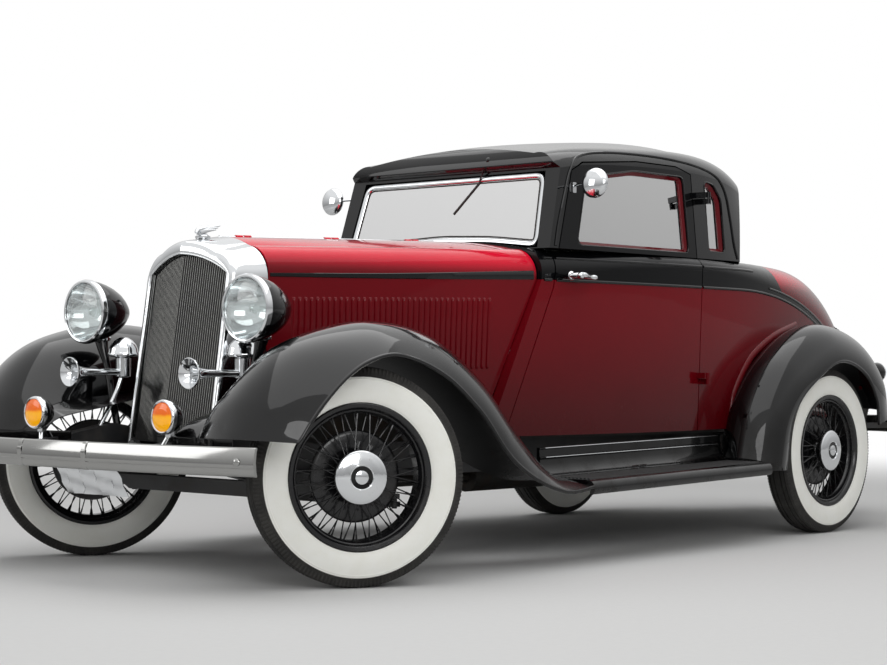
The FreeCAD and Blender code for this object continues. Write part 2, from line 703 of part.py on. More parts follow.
def running_board():
    """Board with rolled outer edge, cove and splash apron up to the body."""
    section = [(866, 252), (866, 292), (856, 302), (660, 306), (632, 322), (618, 346),
               (612, 412), (600, 412), (600, 318), (640, 284), (846, 280), (846, 252)]
    wires = []
    for y, rise in zip(BOARD_Y, (0.0, BOARD_RISE)):
        points = [V(x, y, z + rise) for x, z in section]
        wires.append(Part.makePolygon(points + points[:1]))
    return Part.makeLoft(wires, True, True)


def bowed_bar(front_y, end_y, half_span, z, half_height, ridge, facing):
    """Bumper bar: ridged flat section swept along a wide arc."""
    sag = abs(end_y - front_y)
    radius = (half_span ** 2 + sag ** 2) / (2 * sag)
    sweep = math.degrees(math.asin(half_span / radius))
    centre_y = front_y - facing * radius
    section = [(0, -half_height), (ridge, -half_height * 0.25), (ridge + 4, 0),
               (ridge, half_height * 0.25), (0, half_height), (-8, half_height), (-8, -half_height)]
    points = [V(0, front_y + facing * (along - ridge - 4), z + up) for along, up in section]
    face = Part.Face(Part.makePolygon(points + points[:1]))
    face.rotate(V(0, centre_y, z), UP, -sweep)
    return face.revolve(V(0, centre_y, z), UP, 2 * sweep)


def front_fittings():
    """Left headlamp, its lens, horn and fog lamp, each with its bracket on the frame."""
    frame = chassis_shape()
    centre = (418, -1660, 895)
    lamp = spin([(0, 0), (0, 104), (8, 113.5), (22, 113.5), (26, 108), (80, 97), (128, 72),
                 (168, 38), (190, 0)], centre, (0, 1, 0))
    hollow = spin([(-2, 0), (-2, 100), (20, 100), (60, 70), (90, 0)], centre, (0, 1, 0))
    lens = spin([(-10, 0), (-6, 60), (2, 99.5), (8, 99.5), (8, 0)], centre, (0, 1, 0))
    foot = rod((418, -1590, 805), (380, -1590, 700), 14)
    post = rod((382, -1590, 706), (304, -1600, 480), 12)
    lamp_body = fused([lamp.cut(hollow), foot.cut(lamp), post.cut(frame)])

    horn = spin([(0, 50), (4, 51), (22, 30), (70, 17), (240, 12), (240, 0), (60, 0), (18, 26)],
                (310, -1812, 683), (0, 1, 0))
    can = rod((310, -1575, 666), (310, -1575, 742), 27)
    dome = spin([(0, 0), (0, 55), (14, 54), (40, 44), (60, 26), (68, 0)], (310, -1575, 738),
                (0, 0, 1))
    stay = rod((310, -1580, 676), (306, -1690, 478), 9)
    horn = fused([horn, can, dome, stay.cut(frame)])

    fog = spin([(0, 0), (0, 50), (6, 56), (20, 56), (50, 44), (74, 22), (80, 0)],
               (334, -1936, 545), (0, 1, 0))
    stem = rod((334, -1905, 520), (312, -1925, 440), 8)
    return lamp_body, lens.cut(lamp_body), horn, fused([fog, stem.cut(frame)])


def build_front():
    """Radiator shell, grille, core, lamps, horns, bumper and their brackets."""
    lean = 68.0 / 459.0
    mouth = [line((-206, 0, 446), (206, 0, 446)), line((206, 0, 446), (198, 0, 1022)),
             arc((198, 0, 1022), (118, 0, 1066), (0, 0, 1091)),
             arc((0, 0, 1091), (-118, 0, 1066), (-198, 0, 1022)),
             line((-198, 0, 1022), (-206, 0, 446))]

    def outline(y, side, shoulder, corner, top):
        """Cross-section of the shell: half width, shoulder and corner (x, z), top."""
        foot_z = SHELL_FOOT_Z
        return Part.Wire([
            line((-222, y, foot_z), (222, y, foot_z)), line((222, y, foot_z), (side, y, 1000)),
            arc((side, y, 1000), (shoulder[0], y, shoulder[1]), (corner[0], y, corner[1])),
            arc((corner[0], y, corner[1]), (0, y, top), (-corner[0], y, corner[1])),
            arc((-corner[0], y, corner[1]), (-shoulder[0], y, shoulder[1]), (-side, y, 1000)),
            line((-side, y, 1000), (-222, y, foot_z))])

    def block(edges, y_low, y_high):
        solid = Part.Face(Part.Wire(edges)).extrude(V(0, y_high - y_low, 0))
        solid.translate(V(0, y_low, 0))
        return solid

    def vee(depth, z_low=400.0, z_high=1250.0):
        """Everything in front of the leaning, prowed face, set back by depth."""
        def y(x, z):
            return -1658.0 + depth + abs(x) * 0.23 + (z - 574.0) * lean
        low = [(0, y(0, z_low)), (300, y(300, z_low)), (300, -1900), (-300, -1900),
               (-300, y(300, z_low))]
        return prism([(a, b, z_low) for a, b in low],
                     (0, lean * (z_high - z_low), z_high - z_low))

    shell = Part.makeLoft([outline(HOOD_FRONT_Y - 5, 249, (224, 1078), (150, 1124), SHELL_TOP_Z),
                           outline(-1720, 195, (183, 1040), (140, 1062), 1112)], True, True)
    shell = shell.cut(vee(0)).cut(block(mouth, -1800, -1300))
    bars = []
    count = 45
    pitch = 8.8
    for index in range(count):
        x = (index - (count - 1) / 2) * pitch
        bars.append(box((x - 1.6, x + 1.6), (-1720, -1400), (430, 1120)))
    ties = [box((-206, 206), (-1720, -1400), (z - 3, z + 3)) for z in (560, 700, 840, 980)]
    slab = vee(30).cut(vee(18))
    tie_slab = vee(34).cut(vee(22))
    opening = block(mouth, -1780, -1300)
    bars_solid = [b.common(slab).common(opening) for b in bars]
    tie_solid = [t.common(tie_slab).common(opening) for t in ties]
    save("grille", [fused(bars_solid + tie_solid)])
    core = block(mouth, -1720, HOOD_FRONT_Y - 5).cut(vee(60))
    core = core.common(box((-194, 194), (-1720, -1400), (450, 1080)))
    save("radiator", [core])
    cap = fused([Part.makeCylinder(24, 36, V(0, -1482, SHELL_TOP_Z - 26)),
                 Part.makeCone(14, 6, 34, V(0, -1482, SHELL_TOP_Z + 10))])
    raised = shell.copy()
    raised.translate(V(0, 0, SEAT))
    wing = prism([(3, -1494, 1172), (3, -1504, 1184), (3, -1420, 1208), (3, -1404, 1200),
                  (3, -1452, 1174)], (6, 0, 0))
    wing = turned(wing, (0, -1500, 1160), (0, 0, 1), -14)
    mascot = fused([cap, wing, mirrored(wing)]).cut(raised)
    mascot = max(mascot.cut(shell).Solids, key=lambda solid: solid.BoundBox.ZMax)
    save("mascot", [mascot])

    frame = chassis_shape()
    lamp_body, lens, horn, fog = front_fittings()
    save("headlamps", both(lamp_body))
    save("headlamp_lenses", both(lens))
    save("horns", both(horn))
    save("fog_lamps", both(fog))

    bar = bowed_bar(FRONT_END, -2026, 850, 423, 44, 12, -1)
    nose = -1990.0 - SEAT
    iron = prism([(285, -2112, 408), (340, -2112, 408), (325, nose, 408), (280, nose, 408)],
                 (0, 0, 30))
    save("bumper_front", [fused([bar] + both(iron))])

    rear_bar = bowed_bar(REAR_END, 2560, 800, 440, 40, 12, 1)
    rear_iron = prism([(360, 2328, 420), (398, 2328, 420), (470, 2600, 420), (430, 2604, 420)],
                      (0, 0, 24))
    save("bumper_rear", [fused([rear_bar] + both(rear_iron.cut(frame)))])
    return shell


def build_hood(shell):
    """Two halves hinged on a rod along the centre line."""
    sheet = hull(HOOD_ROWS).cut(hull(HOOD_ROWS, -SKIN, 50.0))
    rear = side_prism([(HOOD_REAR_Y, 1400), (HOOD_REAR_Y, HOOD_BELT_Z),
                       (HOOD_REAR_Y - HOOD_SLANT * (HOOD_BELT_Z - 440), 440), (200, 440),
                       (200, 1400)], -800, 800)
    sheet = sheet.cut(rear)
    rise = (HOOD_HINGE_Z[1] - HOOD_HINGE_Z[0]) / (HOOD_REAR_Y - HOOD_FRONT_Y)

    def hinge_z(y):
        return HOOD_HINGE_Z[0] + (y - HOOD_FRONT_Y) * rise

    half = sheet.common(box((14, 800), (-1500, 0), (400, 1400)))
    halves = []
    for side, first in ((1, -1330.0), (-1, -1290.0)):
        piece = half if side > 0 else mirrored(half)
        rings = []
        for step in range(3):
            y = first + 440 * step
            ring = rod((0, y, hinge_z(y)), (0, y + 30, hinge_z(y + 30)), 8)
            rib = box((min(0, side * 17), max(0, side * 17)), (y, y + 30),
                      (hinge_z(y) - 4, hinge_z(y) + 0.5))
            rings += [ring, rib]
        piece = fused([piece] + rings)
        bore = rod((0, HOOD_FRONT_Y - 20, hinge_z(HOOD_FRONT_Y - 20)), (0, -100, hinge_z(-100)),
                   5 + RUNNING)
        halves.append(piece.cut(bore))
    save("hood_left", [halves[0]])
    save("hood_right", [halves[1]])
    axis_rod = rod((0, HOOD_FRONT_Y - 5, hinge_z(HOOD_FRONT_Y - 5)),
                   (0, HOOD_REAR_Y + 4.7, hinge_z(HOOD_REAR_Y + 4.7)), 5)
    save("radiator_shell", [fused([shell, axis_rod])])


def build_chassis():
    save("frame", chassis())
    save("front_axle", [front_axle()])
    save("rear_axle", [rear_axle()])
    front, rear = springs()
    axle = rear_axle()
    frame = chassis_shape()
    save("springs", [s.cut(frame).cut(axle).cut(front_axle()) for s in both(front) + both(rear)])
    save("knuckle_left", [knuckle(1)])
    save("knuckle_right", [knuckle(-1)])
    save("tie_rod", [tie_rod()])
    engine = fused([box((-150, 150), (-1230, -560), (560, 900)),
                    box((-110, 110), (-1180, -600), (420, 560)),
                    box((-90, 90), (-1220, -580), (900, 985)),
                    box((-150, 150), (-560, -420), (380, 760)),
                    rod((0, -421, 440), (0, -60, 400), 68)])
    save("engine", [engine])
    shaft = rod((0, -68, 397), (0, REAR_Y - 191, TYRE_RADIUS + 2), 28)
    save("driveshaft", [shaft.cut(engine).cut(axle)])
    low = 245.0
    muffler = fused([rod((-165, -660, 570), (-250, -400, low), 24),
                     rod((-250, -410, low), (-250, 200, low), 24),
                     rod((-250, 200, low), (-250, 700, low), 62),
                     rod((-250, 700, low), (-250, 1100, low), 24),
                     rod((-250, -380, low), (-250, -380, 325), 8),
                     rod((-250, 600, low), (-250, 600, 325), 8)])
    save("exhaust", [muffler.cut(frame).cut(engine)])
    tank = box((-360, 360), (1890, 2250), (330, 470))
    save("fuel_tank", [tank.cut(frame)])


def build_cabin():
    """Floor, firewall, bench seat, dash and bulkhead inside the cab."""
    deep = hull(BODY_ROWS, -WALL - SEAT, 60.0)
    rail_top = 440.0
    floor_low = deep.common(box((-700, 700), (-400, 1015), (rail_top + SEAT, 480)))
    trunk = deep.common(box((-700, 700), (1000, 2339.7), (622, 640)))
    trunk = trunk.cut(box((-700, 700), (1015, 1042), (639, 641)))
    riser = deep.common(box((-700, 700), (1000, 1015), (rail_top + SEAT, 640)))
    wall = side_prism([(-452, 462), (-440, 462), (-262, 1080), (-274, 1080)], -700, 700)
    wall = wall.common(deep)
    tunnel_room = rod((0, -470, 446), (0, -40, 400), 80)
    tunnel = rod((0, -400, 442), (0, -20, 398), 92).cut(tunnel_room)
    tunnel = tunnel.common(box((-200, 200), (-400, -40), (470, 800)))
    base = box((-520, 520), (380, 870), (470, 659.7))
    pan = fused([floor_low.cut(tunnel_room), trunk, riser, base, tunnel])
    column_room = rod((COLUMN_FOOT[0], -480, 606), (COLUMN_FOOT[0], -300, 729), 22 + SEAT)
    wall = wall.cut(column_room).cut(box((-152, 152), (-560, -300), (300, 780)))
    save("floor", [pan])
    save("firewall", [wall.cut(pan)])
    cushion = box((-530, 530), (360, 800), (660, 800))
    back = side_prism([(800 + SEAT, 660), (905, 660), (1010, 1262), (880, 1262)], -505, 505)
    save("seat_cushion", [cushion])
    save("seat_back", [back])
    panel = side_prism([(1020, 639 + SEAT), (1034, 639 + SEAT), (1110, 1120), (1160, 1120),
                        (1160, 1132), (1096, 1132)], -700, 700)
    bulkhead = deep.common(panel)
    save("bulkhead", [bulkhead])
    dash = deep.common(side_prism([(-180, 960), (-150, 960), (-120, 1130), (-235, 1130)], -700, 700))
    save("dash", [dash.cut(steering_column())])
    save("steering_column", [steering_column()])
    save("steering_wheel", [steering_wheel()])


def build_fenders(outer):
    lamp, _, horn, _ = front_fittings()
    front = fused([fender(FRONT_FENDER), splash_sheet()]).cut(outer)
    front = front.cut(lamp).cut(horn)
    rear = fender(REAR_FENDER).cut(outer)
    ahead = rear.copy()
    ahead.translate(V(0, -SEAT, 0))
    board = running_board().cut(rear).cut(ahead).cut(outer)
    frame = chassis_shape()
    save("fenders_front", both(front.cut(frame)))
    save("fenders_rear", both(rear.cut(frame)))
    save("running_boards", both(board))


def build_small():
    """Mirrors and tail lamps."""
    mirror = spin([(0, 0), (0, 56), (10, 57.5), (18, 50), (26, 20), (28, 0)],
                  (690, -150, 1398), (0, -1, 0.08))
    arm = rod((540, -108, 1392), (690, -160, 1398), 5).cut(hull(ROOF_ROWS))
    save("mirror_left", [fused([mirror, arm])])
    save("mirror_right", [mirrored(fused([mirror, arm]))])
    lamp = spin([(0, 0), (0, 40), (10, 46), (60, 34), (84, 0)], (600, 2150, 690), (0, -1, 0))
    stay = rod((600, 2090, 690), (600, 1985, 610), 9).cut(fender(REAR_FENDER))
    stay = max(stay.Solids, key=lambda solid: solid.BoundBox.YMax)
    save("tail_lamps", both(fused([lamp, stay])))
    frame, pane = windshield()
    save("windshield_frame", [frame])
    save("windshield_glass", [pane])


def main():
    os.makedirs("parts", exist_ok=True)
    build_wheels()
    build_chassis()
    outer = build_cab()
    build_fenders(outer)
    build_hood(build_front())
    build_cabin()
    build_small()


main()
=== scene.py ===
"""Finishes, fine pieces, light and camera for a two-door coupe of the early thirties.

All places are in metres with +Z up.  The nose points to -Y and the car's left side is +X.
Most numbers are given in the car's own frame, whose Y = 0 lies halfway between the axles;
car() moves them into the row's frame.
"""

import logging
import math
from dataclasses import dataclass, field
from enum import Enum
from typing import Iterable, Sequence

import bmesh
import bpy
from mathutils import Matrix, Vector
from mathutils.bvhtree import BVHTree


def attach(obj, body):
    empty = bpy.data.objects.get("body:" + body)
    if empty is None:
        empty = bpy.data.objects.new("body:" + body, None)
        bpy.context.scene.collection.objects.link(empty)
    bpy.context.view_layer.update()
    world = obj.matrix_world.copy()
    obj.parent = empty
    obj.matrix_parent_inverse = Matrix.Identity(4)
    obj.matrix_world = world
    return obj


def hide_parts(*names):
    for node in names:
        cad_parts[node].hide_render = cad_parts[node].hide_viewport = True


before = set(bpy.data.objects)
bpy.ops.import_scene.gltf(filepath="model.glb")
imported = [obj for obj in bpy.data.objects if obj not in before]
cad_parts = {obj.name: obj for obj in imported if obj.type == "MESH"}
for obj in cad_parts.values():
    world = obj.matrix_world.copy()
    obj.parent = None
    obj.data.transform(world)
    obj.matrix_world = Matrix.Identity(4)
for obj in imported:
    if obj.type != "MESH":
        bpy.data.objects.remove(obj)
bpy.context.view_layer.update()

logging.basicConfig(level=logging.INFO, format="%(message)s")
log = logging.getLogger("coupe")

SHIFT = -0.2475
WHEELBASE = 2.845
FRONT_Y, REAR_Y = -WHEELBASE / 2, WHEELBASE / 2
TYRE_R = 0.3546
TRACK = 1.435
KINGPIN_X = TRACK / 2 - 0.055
STEER = math.radians(-28.9)
SHADE = 0.34
BELT_Z, BELT_DROP, BELT_BEND_Y = 1.036, 0.20, 0.95
UP, AHEAD, BACK = Vector((0, 0, 1)), Vector((0, -1, 0)), Vector((0, 1, 0))
Pair = tuple[float, float]
Triple = tuple[float, float, float]


def car(x: float, y: float, z: float) -> Vector:
    """Point of the car's own frame in the row's frame."""
    return Vector((x, y + SHIFT, z))


def mm(*numbers: float) -> list[Pair]:
    """Outline in metres from pairs of millimetres."""
    return [(a / 1000, b / 1000) for a, b in zip(numbers[::2], numbers[1::2])]


def polar(along: float, radius: float, turn: float) -> Vector:
    """Point about the X axis."""
    return Vector((along, radius * math.cos(turn), radius * math.sin(turn)))


def across(points: Iterable[Vector]) -> list[Vector]:
    """The same points on the car's other side."""
    return [Vector((-p.x, p.y, p.z)) for p in points]


def box(a: float, b: float) -> list[Pair]:
    """Corners of a rectangle of the given half sizes."""
    return [(-a, -b), (a, -b), (a, b), (-a, b)]


def dome(width: float, proud: float, sunk: float = 0.0) -> list[Pair]:
    """Half-round section of a half width and a height."""
    return [(width * math.cos(t), proud * math.sin(t) - sunk)
            for t in (math.pi * k / 8 for k in range(9))]


def linked(name: str, data: bpy.types.ID) -> bpy.types.Object:
    """New object of the scene."""
    thing = bpy.data.objects.new(name, data)
    bpy.context.scene.collection.objects.link(thing)
    return thing


class Side(Enum):
    """The car's two sides as the sign of X."""

    LEFT = 1
    RIGHT = -1

    @property
    def word(self) -> str:
        """Name of the side in piece and body names."""
        return self.name.lower()


# Shader expressions and material graphs


def add_node(tree: bpy.types.NodeTree, kind: str, settings: dict | None,
             values: dict | None) -> bpy.types.Node:
    """Add one node to a tree.

    Args:
        tree: where it goes.
        kind: the node's type.
        settings: its own settings.
        values: what goes into its sockets; an output socket is linked.

    Returns:
        The node.
    """
    node = tree.nodes.new(kind)
    for key, value in (settings or {}).items():
        setattr(node, key, value)
    for key, value in (values or {}).items():
        if isinstance(value, bpy.types.NodeSocket):
            tree.links.new(value, node.inputs[key])
        else:
            node.inputs[key].default_value = value
    return node


class Wire:
    """A shader value that takes part in arithmetic."""

    def __init__(self, graph: "Graph", socket: bpy.types.NodeSocket) -> None:
        """Keep the socket and the graph that new nodes go to."""
        self.graph = graph
        self.socket = socket

    def calc(self, operation: str, *others: "Wire | float", first: bool = True) -> "Wire":
        """Add one Math node; this value is its first operand, or else its last."""
        operands = [self, *others] if first else [*others, self]
        return self.graph.node("ShaderNodeMath", {"operation": operation},
                               dict(enumerate(operands)))

    def __add__(self, other: "Wire | float") -> "Wire":
        """Sum."""
        return self.calc("ADD", other)

    __radd__ = __add__

    def __sub__(self, other: "Wire | float") -> "Wire":
        """Difference."""
        return self.calc("SUBTRACT", other)

    def __rsub__(self, other: float) -> "Wire":
        """Difference from a number."""
        return self.calc("SUBTRACT", other, first=False)

    def __mul__(self, other: "Wire | float") -> "Wire":
        """Product."""
        return self.calc("MULTIPLY", other)

    __rmul__ = __mul__

    def __truediv__(self, other: "Wire | float") -> "Wire":
        """Quotient."""
        return self.calc("DIVIDE", other)

    def __pow__(self, other: float) -> "Wire":
        """Power."""
        return self.calc("POWER", other)

    def __abs__(self) -> "Wire":
        """Size without sign."""
        return self.calc("ABSOLUTE")

    def least(self, limit: "Wire | float") -> "Wire":
        """The value, but never under the limit."""
        return self.calc("MAXIMUM", limit)

    def most(self, limit: "Wire | float") -> "Wire":
        """The value, but never over the limit."""
        return self.calc("MINIMUM", limit)

    def wave(self) -> "Wire":
        """Sine of the value in radians."""
        return self.calc("SINE")

    def step(self, low: float, high: float) -> "Wire":
        """Smooth rise from 0 at low to 1 at high."""
        return self.graph.node("ShaderNodeMapRange", {"interpolation_type": "SMOOTHSTEP"},
                               {0: self, 1: low, 2: high, 3: 0.0, 4: 1.0})


class Graph:
    """Node tree of one material or of the world."""

    def __init__(self, owner: bpy.types.ID) -> None:
        """Start an empty tree."""
        self.owner = owner
        owner.use_nodes = True
        self.tree = owner.node_tree
        self.tree.nodes.clear()

    def node(self, kind: str, settings: dict | None = None, values: dict | None = None,
             out: int | str = 0) -> Wire:
        """Add one node, whose values may be wires, and give one of its outputs."""
        plain = {key: value.socket if isinstance(value, Wire) else value
                 for key, value in (values or {}).items()}
        return Wire(self, add_node(self.tree, kind, settings, plain).outputs[out])

    def place(self) -> Wire:
        """Object coordinates."""
        return self.node("ShaderNodeTexCoord", out="Object")

    def axes(self) -> tuple[Wire, Wire, Wire]:
        """Object coordinates one by one."""
        split = self.node("ShaderNodeSeparateXYZ", values={0: self.place()}).socket.node
        return tuple(Wire(self, output) for output in split.outputs)

    def noise(self, scale: float, detail: float = 3.0, rough: float = 0.55) -> Wire:
        """Noise between 0 and 1."""
        return self.node("ShaderNodeTexNoise", values={
            "Vector": self.place(), "Scale": scale, "Detail": detail, "Roughness": rough})

    def mix(self, a: "Wire | Sequence[float]", b: "Wire | Sequence[float]",
            factor: "Wire | float") -> Wire:
        """Blend of two colours."""
        return self.node("ShaderNodeMix", {"data_type": "RGBA"},
                         {0: factor, 6: rgba(a), 7: rgba(b)}, out=2)

    def bump(self, height: Wire, strength: float, distance: float) -> Wire:
        """Normal from a height in metres of the given distance."""
        return self.node("ShaderNodeBump", values={
            "Strength": strength, "Distance": distance, "Height": height})

    def rays(self) -> list[Wire]:
        """1 for rays of the camera, of gloss and through glass."""
        return [self.node("ShaderNodeLightPath", out=f"Is {kind} Ray")
                for kind in ("Camera", "Glossy", "Transmission")]

    def surface(self, values: dict) -> Wire:
        """Principled surface."""
        return self.node("ShaderNodeBsdfPrincipled", values=values)

    def close(self, shader: Wire, kind: str = "Material") -> bpy.types.ID:
        """Join the shader to an output and give the finished material or world."""
        add_node(self.tree, f"ShaderNodeOutput{kind}", None, {0: shader.socket})
        return self.owner


def rgba(colour: "Wire | Sequence[float]") -> "Wire | tuple":
    """Colour with an alpha of 1, or the wire as it is."""
    return colour if isinstance(colour, Wire) else (*colour[:3], 1.0)


class Scheme(Enum):
    """Where a lacquered panel changes colour."""

    PLAIN = "plain"
    BODY = "body"
    DOOR = "door"


@dataclass(frozen=True)
class Finish:
    """A named surface; made once and shared."""

    name: str

    def build(self, graph: Graph) -> Wire:
        """Shader of this finish."""
        raise NotImplementedError

    def material(self) -> bpy.types.Material:
        """The finish's material, made at the first call."""
        found = bpy.data.materials.get(self.name)
        if found:
            return found
        graph = Graph(bpy.data.materials.new(self.name))
        return graph.close(self.build(graph))


@dataclass(frozen=True)
class Lacquer(Finish):
    """Polished cellulose paint with a clear gloss, soft colour drift and road film; painted shade
    darkens it low down and a painted highlight lightens it on top.
    """

    colour: Triple = (0.19, 0.0018, 0.007)
    # bleached is a painted highlight: the lighter colour of the upper panels, where light falls on
    # them.
    bleached: Triple = (0.80, 0.003, 0.030)
    second: Triple = (0.0030, 0.0031, 0.0038)
    scheme: Scheme = Scheme.PLAIN
    dust: float = 0.05
    ripple: float = 0.03
    gloss: float = 1.25
    band_from: float = 1.18

    def upper(self, graph: Graph) -> Wire:
        """1 where the panel carries the second colour."""
        x, y, z = graph.axes()
        y = y - SHIFT
        over = z - (BELT_Z - BELT_DROP * (y - BELT_BEND_Y).least(0.0) ** 2.0)
        if self.scheme is Scheme.DOOR:
            return over.step(-0.0006, 0.0006)
        behind = y - self.band_from
        band = 1.0 - (over - 0.030 - 0.16 * (1.0 - behind.step(0.0, 0.16))).step(
            -0.0006, 0.0006)
        side = (abs(x) - 0.20).step(0.0, 0.001)
        return over.step(-0.0006, 0.0006) * (1.0 - behind.step(0.0, 0.001) * (1.0 - band * side))

    def build(self, graph: Graph) -> Wire:
        """Shader of the paint."""
        z = graph.axes()[2]
        # Painted shade: the colour falls to 0.42 of itself towards the bottom of the panel.
        colour = graph.mix(tuple(c * 0.42 for c in self.colour), self.colour, z.step(0.42, 1.0))
        # Painted highlight: from 1.04 m up the colour turns to bleached.
        colour = graph.mix(colour, self.bleached, z.step(1.040, 1.110))
        if self.scheme is not Scheme.PLAIN:
            colour = graph.mix(colour, self.second, self.upper(graph))
        drift = graph.noise(2.3, 4.0)
        colour = graph.mix(colour, (0.0, 0.0, 0.0), (drift - 0.35).least(0.0) * 0.3)
        film = (1.0 - z.step(0.25, 0.75)) * graph.noise(9.0, 6.0, 0.65).step(0.42, 0.75)
        colour = graph.mix(colour, (0.16, 0.13, 0.10), film * self.dust)
        fine = graph.noise(55.0, 2.0, 0.5)
        rough = 0.16 + graph.noise(3.1, 5.0) * 0.10 + film * 0.25
        return graph.surface({
            "Base Color": colour, "Roughness": rough, "Specular IOR Level": 0.05,
            "Coat Weight": 1.0 - film * 0.35, "Coat Roughness": 0.02,
            "Coat IOR": self.gloss,
            "Normal": graph.bump(fine, self.ripple, 0.002)})


@dataclass(frozen=True)
class Chrome(Finish):
    """Plated metal with faint waves, swirl marks and a little haze in patches."""

    tint: Triple = (0.72, 0.735, 0.75)
    haze: float = 0.05

    def build(self, graph: Graph) -> Wire:
        """Shader of the plating."""
        smear = graph.noise(7.0, 5.0, 0.6)
        grime = graph.noise(31.0, 4.0, 0.7).step(0.60, 0.86)
        wave = graph.noise(13.0, 1.0)
        return graph.surface({
            "Base Color": graph.mix(self.tint, (0.34, 0.33, 0.31), grime * 0.35),
            "Metallic": 1.0 - grime * 0.08,
            "Roughness": self.haze + smear * 0.07 + grime * 0.18,
            "Normal": graph.bump(wave, 0.03, 0.004)})


@dataclass(frozen=True)
class Rubber(Finish):
    """Vulcanised rubber, chalky where it is weathered."""

    colour: Triple = (0.022, 0.021, 0.020)
    chalk: Triple = (0.11, 0.105, 0.095)
    share: float = 0.35
    rough: float = 0.72

    def build(self, graph: Graph) -> Wire:
        """Shader of the rubber."""
        patch = graph.noise(14.0, 6.0, 0.7).step(0.35, 0.80)
        grain = graph.noise(420.0, 3.0, 0.6)
        return graph.surface({
            "Base Color": graph.mix(self.colour, self.chalk, patch * self.share),
            "Roughness": self.rough + patch * 0.15, "Specular IOR Level": 0.35,
            "Normal": graph.bump(grain, 0.25, 0.0006)})


@dataclass(frozen=True)
class Glazing(Finish):
    """Plate glass: a clear pane that mirrors the sky at a slant, with a trace of dust."""

    tint: Triple = (0.90, 0.95, 0.93)
    mirror: float = 0.10

    def build(self, graph: Graph) -> Wire:
        """Shader of the pane."""
        clear = graph.node("ShaderNodeBsdfTransparent", values={0: rgba(self.tint)})
        gloss = graph.node("ShaderNodeBsdfGlossy", values={0: (1, 1, 1, 1), "Roughness": 0.012})
        slant = graph.node("ShaderNodeFresnel", values={0: 1.5})
        dust = graph.noise(26.0, 6.0, 0.7).step(0.5, 0.9)
        share = (slant * 1.6 + self.mirror + dust * 0.03).most(1.0)
        return graph.node("ShaderNodeMixShader", values={0: share, 1: clear, 2: gloss})


@dataclass(frozen=True)
class Lens(Finish):
    """Moulded lens glass, thick and tinted, with flow marks."""

    tint: Triple = (0.92, 0.96, 0.95)
    rough: float = 0.04
    weight: float = 0.92
    shade: Triple | None = None
    shade_from: float = 0.0
    # glow is emission; on an unlit lens it is painted light.
    glow: float = 0.0

    def build(self, graph: Graph) -> Wire:
        """Shader of the lens."""
        marks = graph.noise(46.0, 3.0)
        colour = graph.mix(self.tint, tuple(c * 0.8 for c in self.tint), marks * 0.5)
        if self.shade:
            up = (graph.axes()[2] + marks * 0.010).step(self.shade_from, self.shade_from + 0.014)
            colour = graph.mix(colour, self.shade, up)
        return graph.surface({
            "Base Color": colour, "Emission Color": colour, "Emission Strength": self.glow,
            "Roughness": self.rough + marks * 0.05, "Transmission Weight": self.weight,
            "IOR": 1.45, "Coat Weight": 0.3 + marks * 0.2,
            "Normal": graph.bump(marks, 0.12, 0.002)})


@dataclass(frozen=True)
class Woven(Finish):
    """Upholstery cloth: two thread directions, nap and fading on top."""

    colour: Triple = (0.20, 0.155, 0.115)
    thread: float = 900.0

    def build(self, graph: Graph) -> Wire:
        """Shader of the cloth."""
        x, y, z = graph.axes()
        warp = (x * self.thread).wave() * 0.5 + 0.5
        weft = ((y + z) * self.thread).wave() * 0.5 + 0.5
        weave = warp * weft
        fade = graph.noise(5.0, 4.0).step(0.3, 0.8)
        colour = graph.mix(tuple(c * 0.62 for c in self.colour), self.colour, weave)
        colour = graph.mix(colour, tuple(min(1.0, c * 1.5) for c in self.colour), fade * 0.35)
        return graph.surface({
            "Base Color": colour, "Roughness": 0.84 + fade * 0.1, "Sheen Weight": 0.35,
            "Normal": graph.bump(weave, 0.35, 0.0008)})


@dataclass(frozen=True)
class Painted(Finish):
    """Brushed or cast chassis parts: satin paint over a lightly pitted skin."""

    colour: Triple = (0.012, 0.012, 0.013)
    worn: Triple = (0.09, 0.075, 0.06)
    share: float = 0.30
    rough: float = 0.42
    metallic: float = 0.0
    pits: float = 60.0

    def build(self, graph: Graph) -> Wire:
        """Shader of the part."""
        soil = graph.noise(8.0, 7.0, 0.68).step(0.45, 0.80)
        pit = graph.noise(self.pits, 4.0, 0.6)
        return graph.surface({
            "Base Color": graph.mix(self.colour, self.worn, soil * self.share),
            "Metallic": self.metallic * (1.0 - soil * 0.4) if self.metallic else 0.0,
            "Roughness": self.rough + soil * 0.3,
            "Normal": graph.bump(pit, 0.22, 0.002)})


@dataclass(frozen=True)
class Honeycomb(Finish):
    """Radiator core: rows of small tubes behind the grille."""

    pitch: float = 0.0085

    def build(self, graph: Graph) -> Wire:
        """Shader of the core."""
        x, _, z = graph.axes()
        turn = 2 * math.pi / self.pitch
        cell = ((x * turn).wave() * (z * turn).wave()) * 0.5 + 0.5
        return graph.surface({
            "Base Color": graph.mix((0.006, 0.006, 0.006), (0.05, 0.045, 0.04), cell),
            "Roughness": 0.6 + cell * 0.2, "Metallic": cell * 0.5,
            "Normal": graph.bump(cell, 0.7, 0.004)})


@dataclass(frozen=True)
class Floor(Finish):
    """Pale studio floor that keeps the shadow and fades into the white backdrop."""

    colour: Triple = (0.74, 0.74, 0.735)

    def build(self, graph: Graph) -> Wire:
        """Shader of the floor."""
        x, y, _ = graph.axes()
        far = ((x * x + y * y) ** 0.5).step(3.6, 8.5)
        grain = graph.noise(40.0, 5.0)
        matt = graph.node("ShaderNodeBsdfDiffuse", values={
            0: graph.mix(self.colour, tuple(c * 0.95 for c in self.colour), grain)})
        white = graph.node("ShaderNodeEmission", values={0: (1, 1, 1, 1), 1: 1.0})
        seen, glossy, through = graph.rays()
        share = far * (seen + glossy * SHADE + through).most(1.0)
        return graph.node("ShaderNodeMixShader", values={0: share, 1: matt, 2: white})


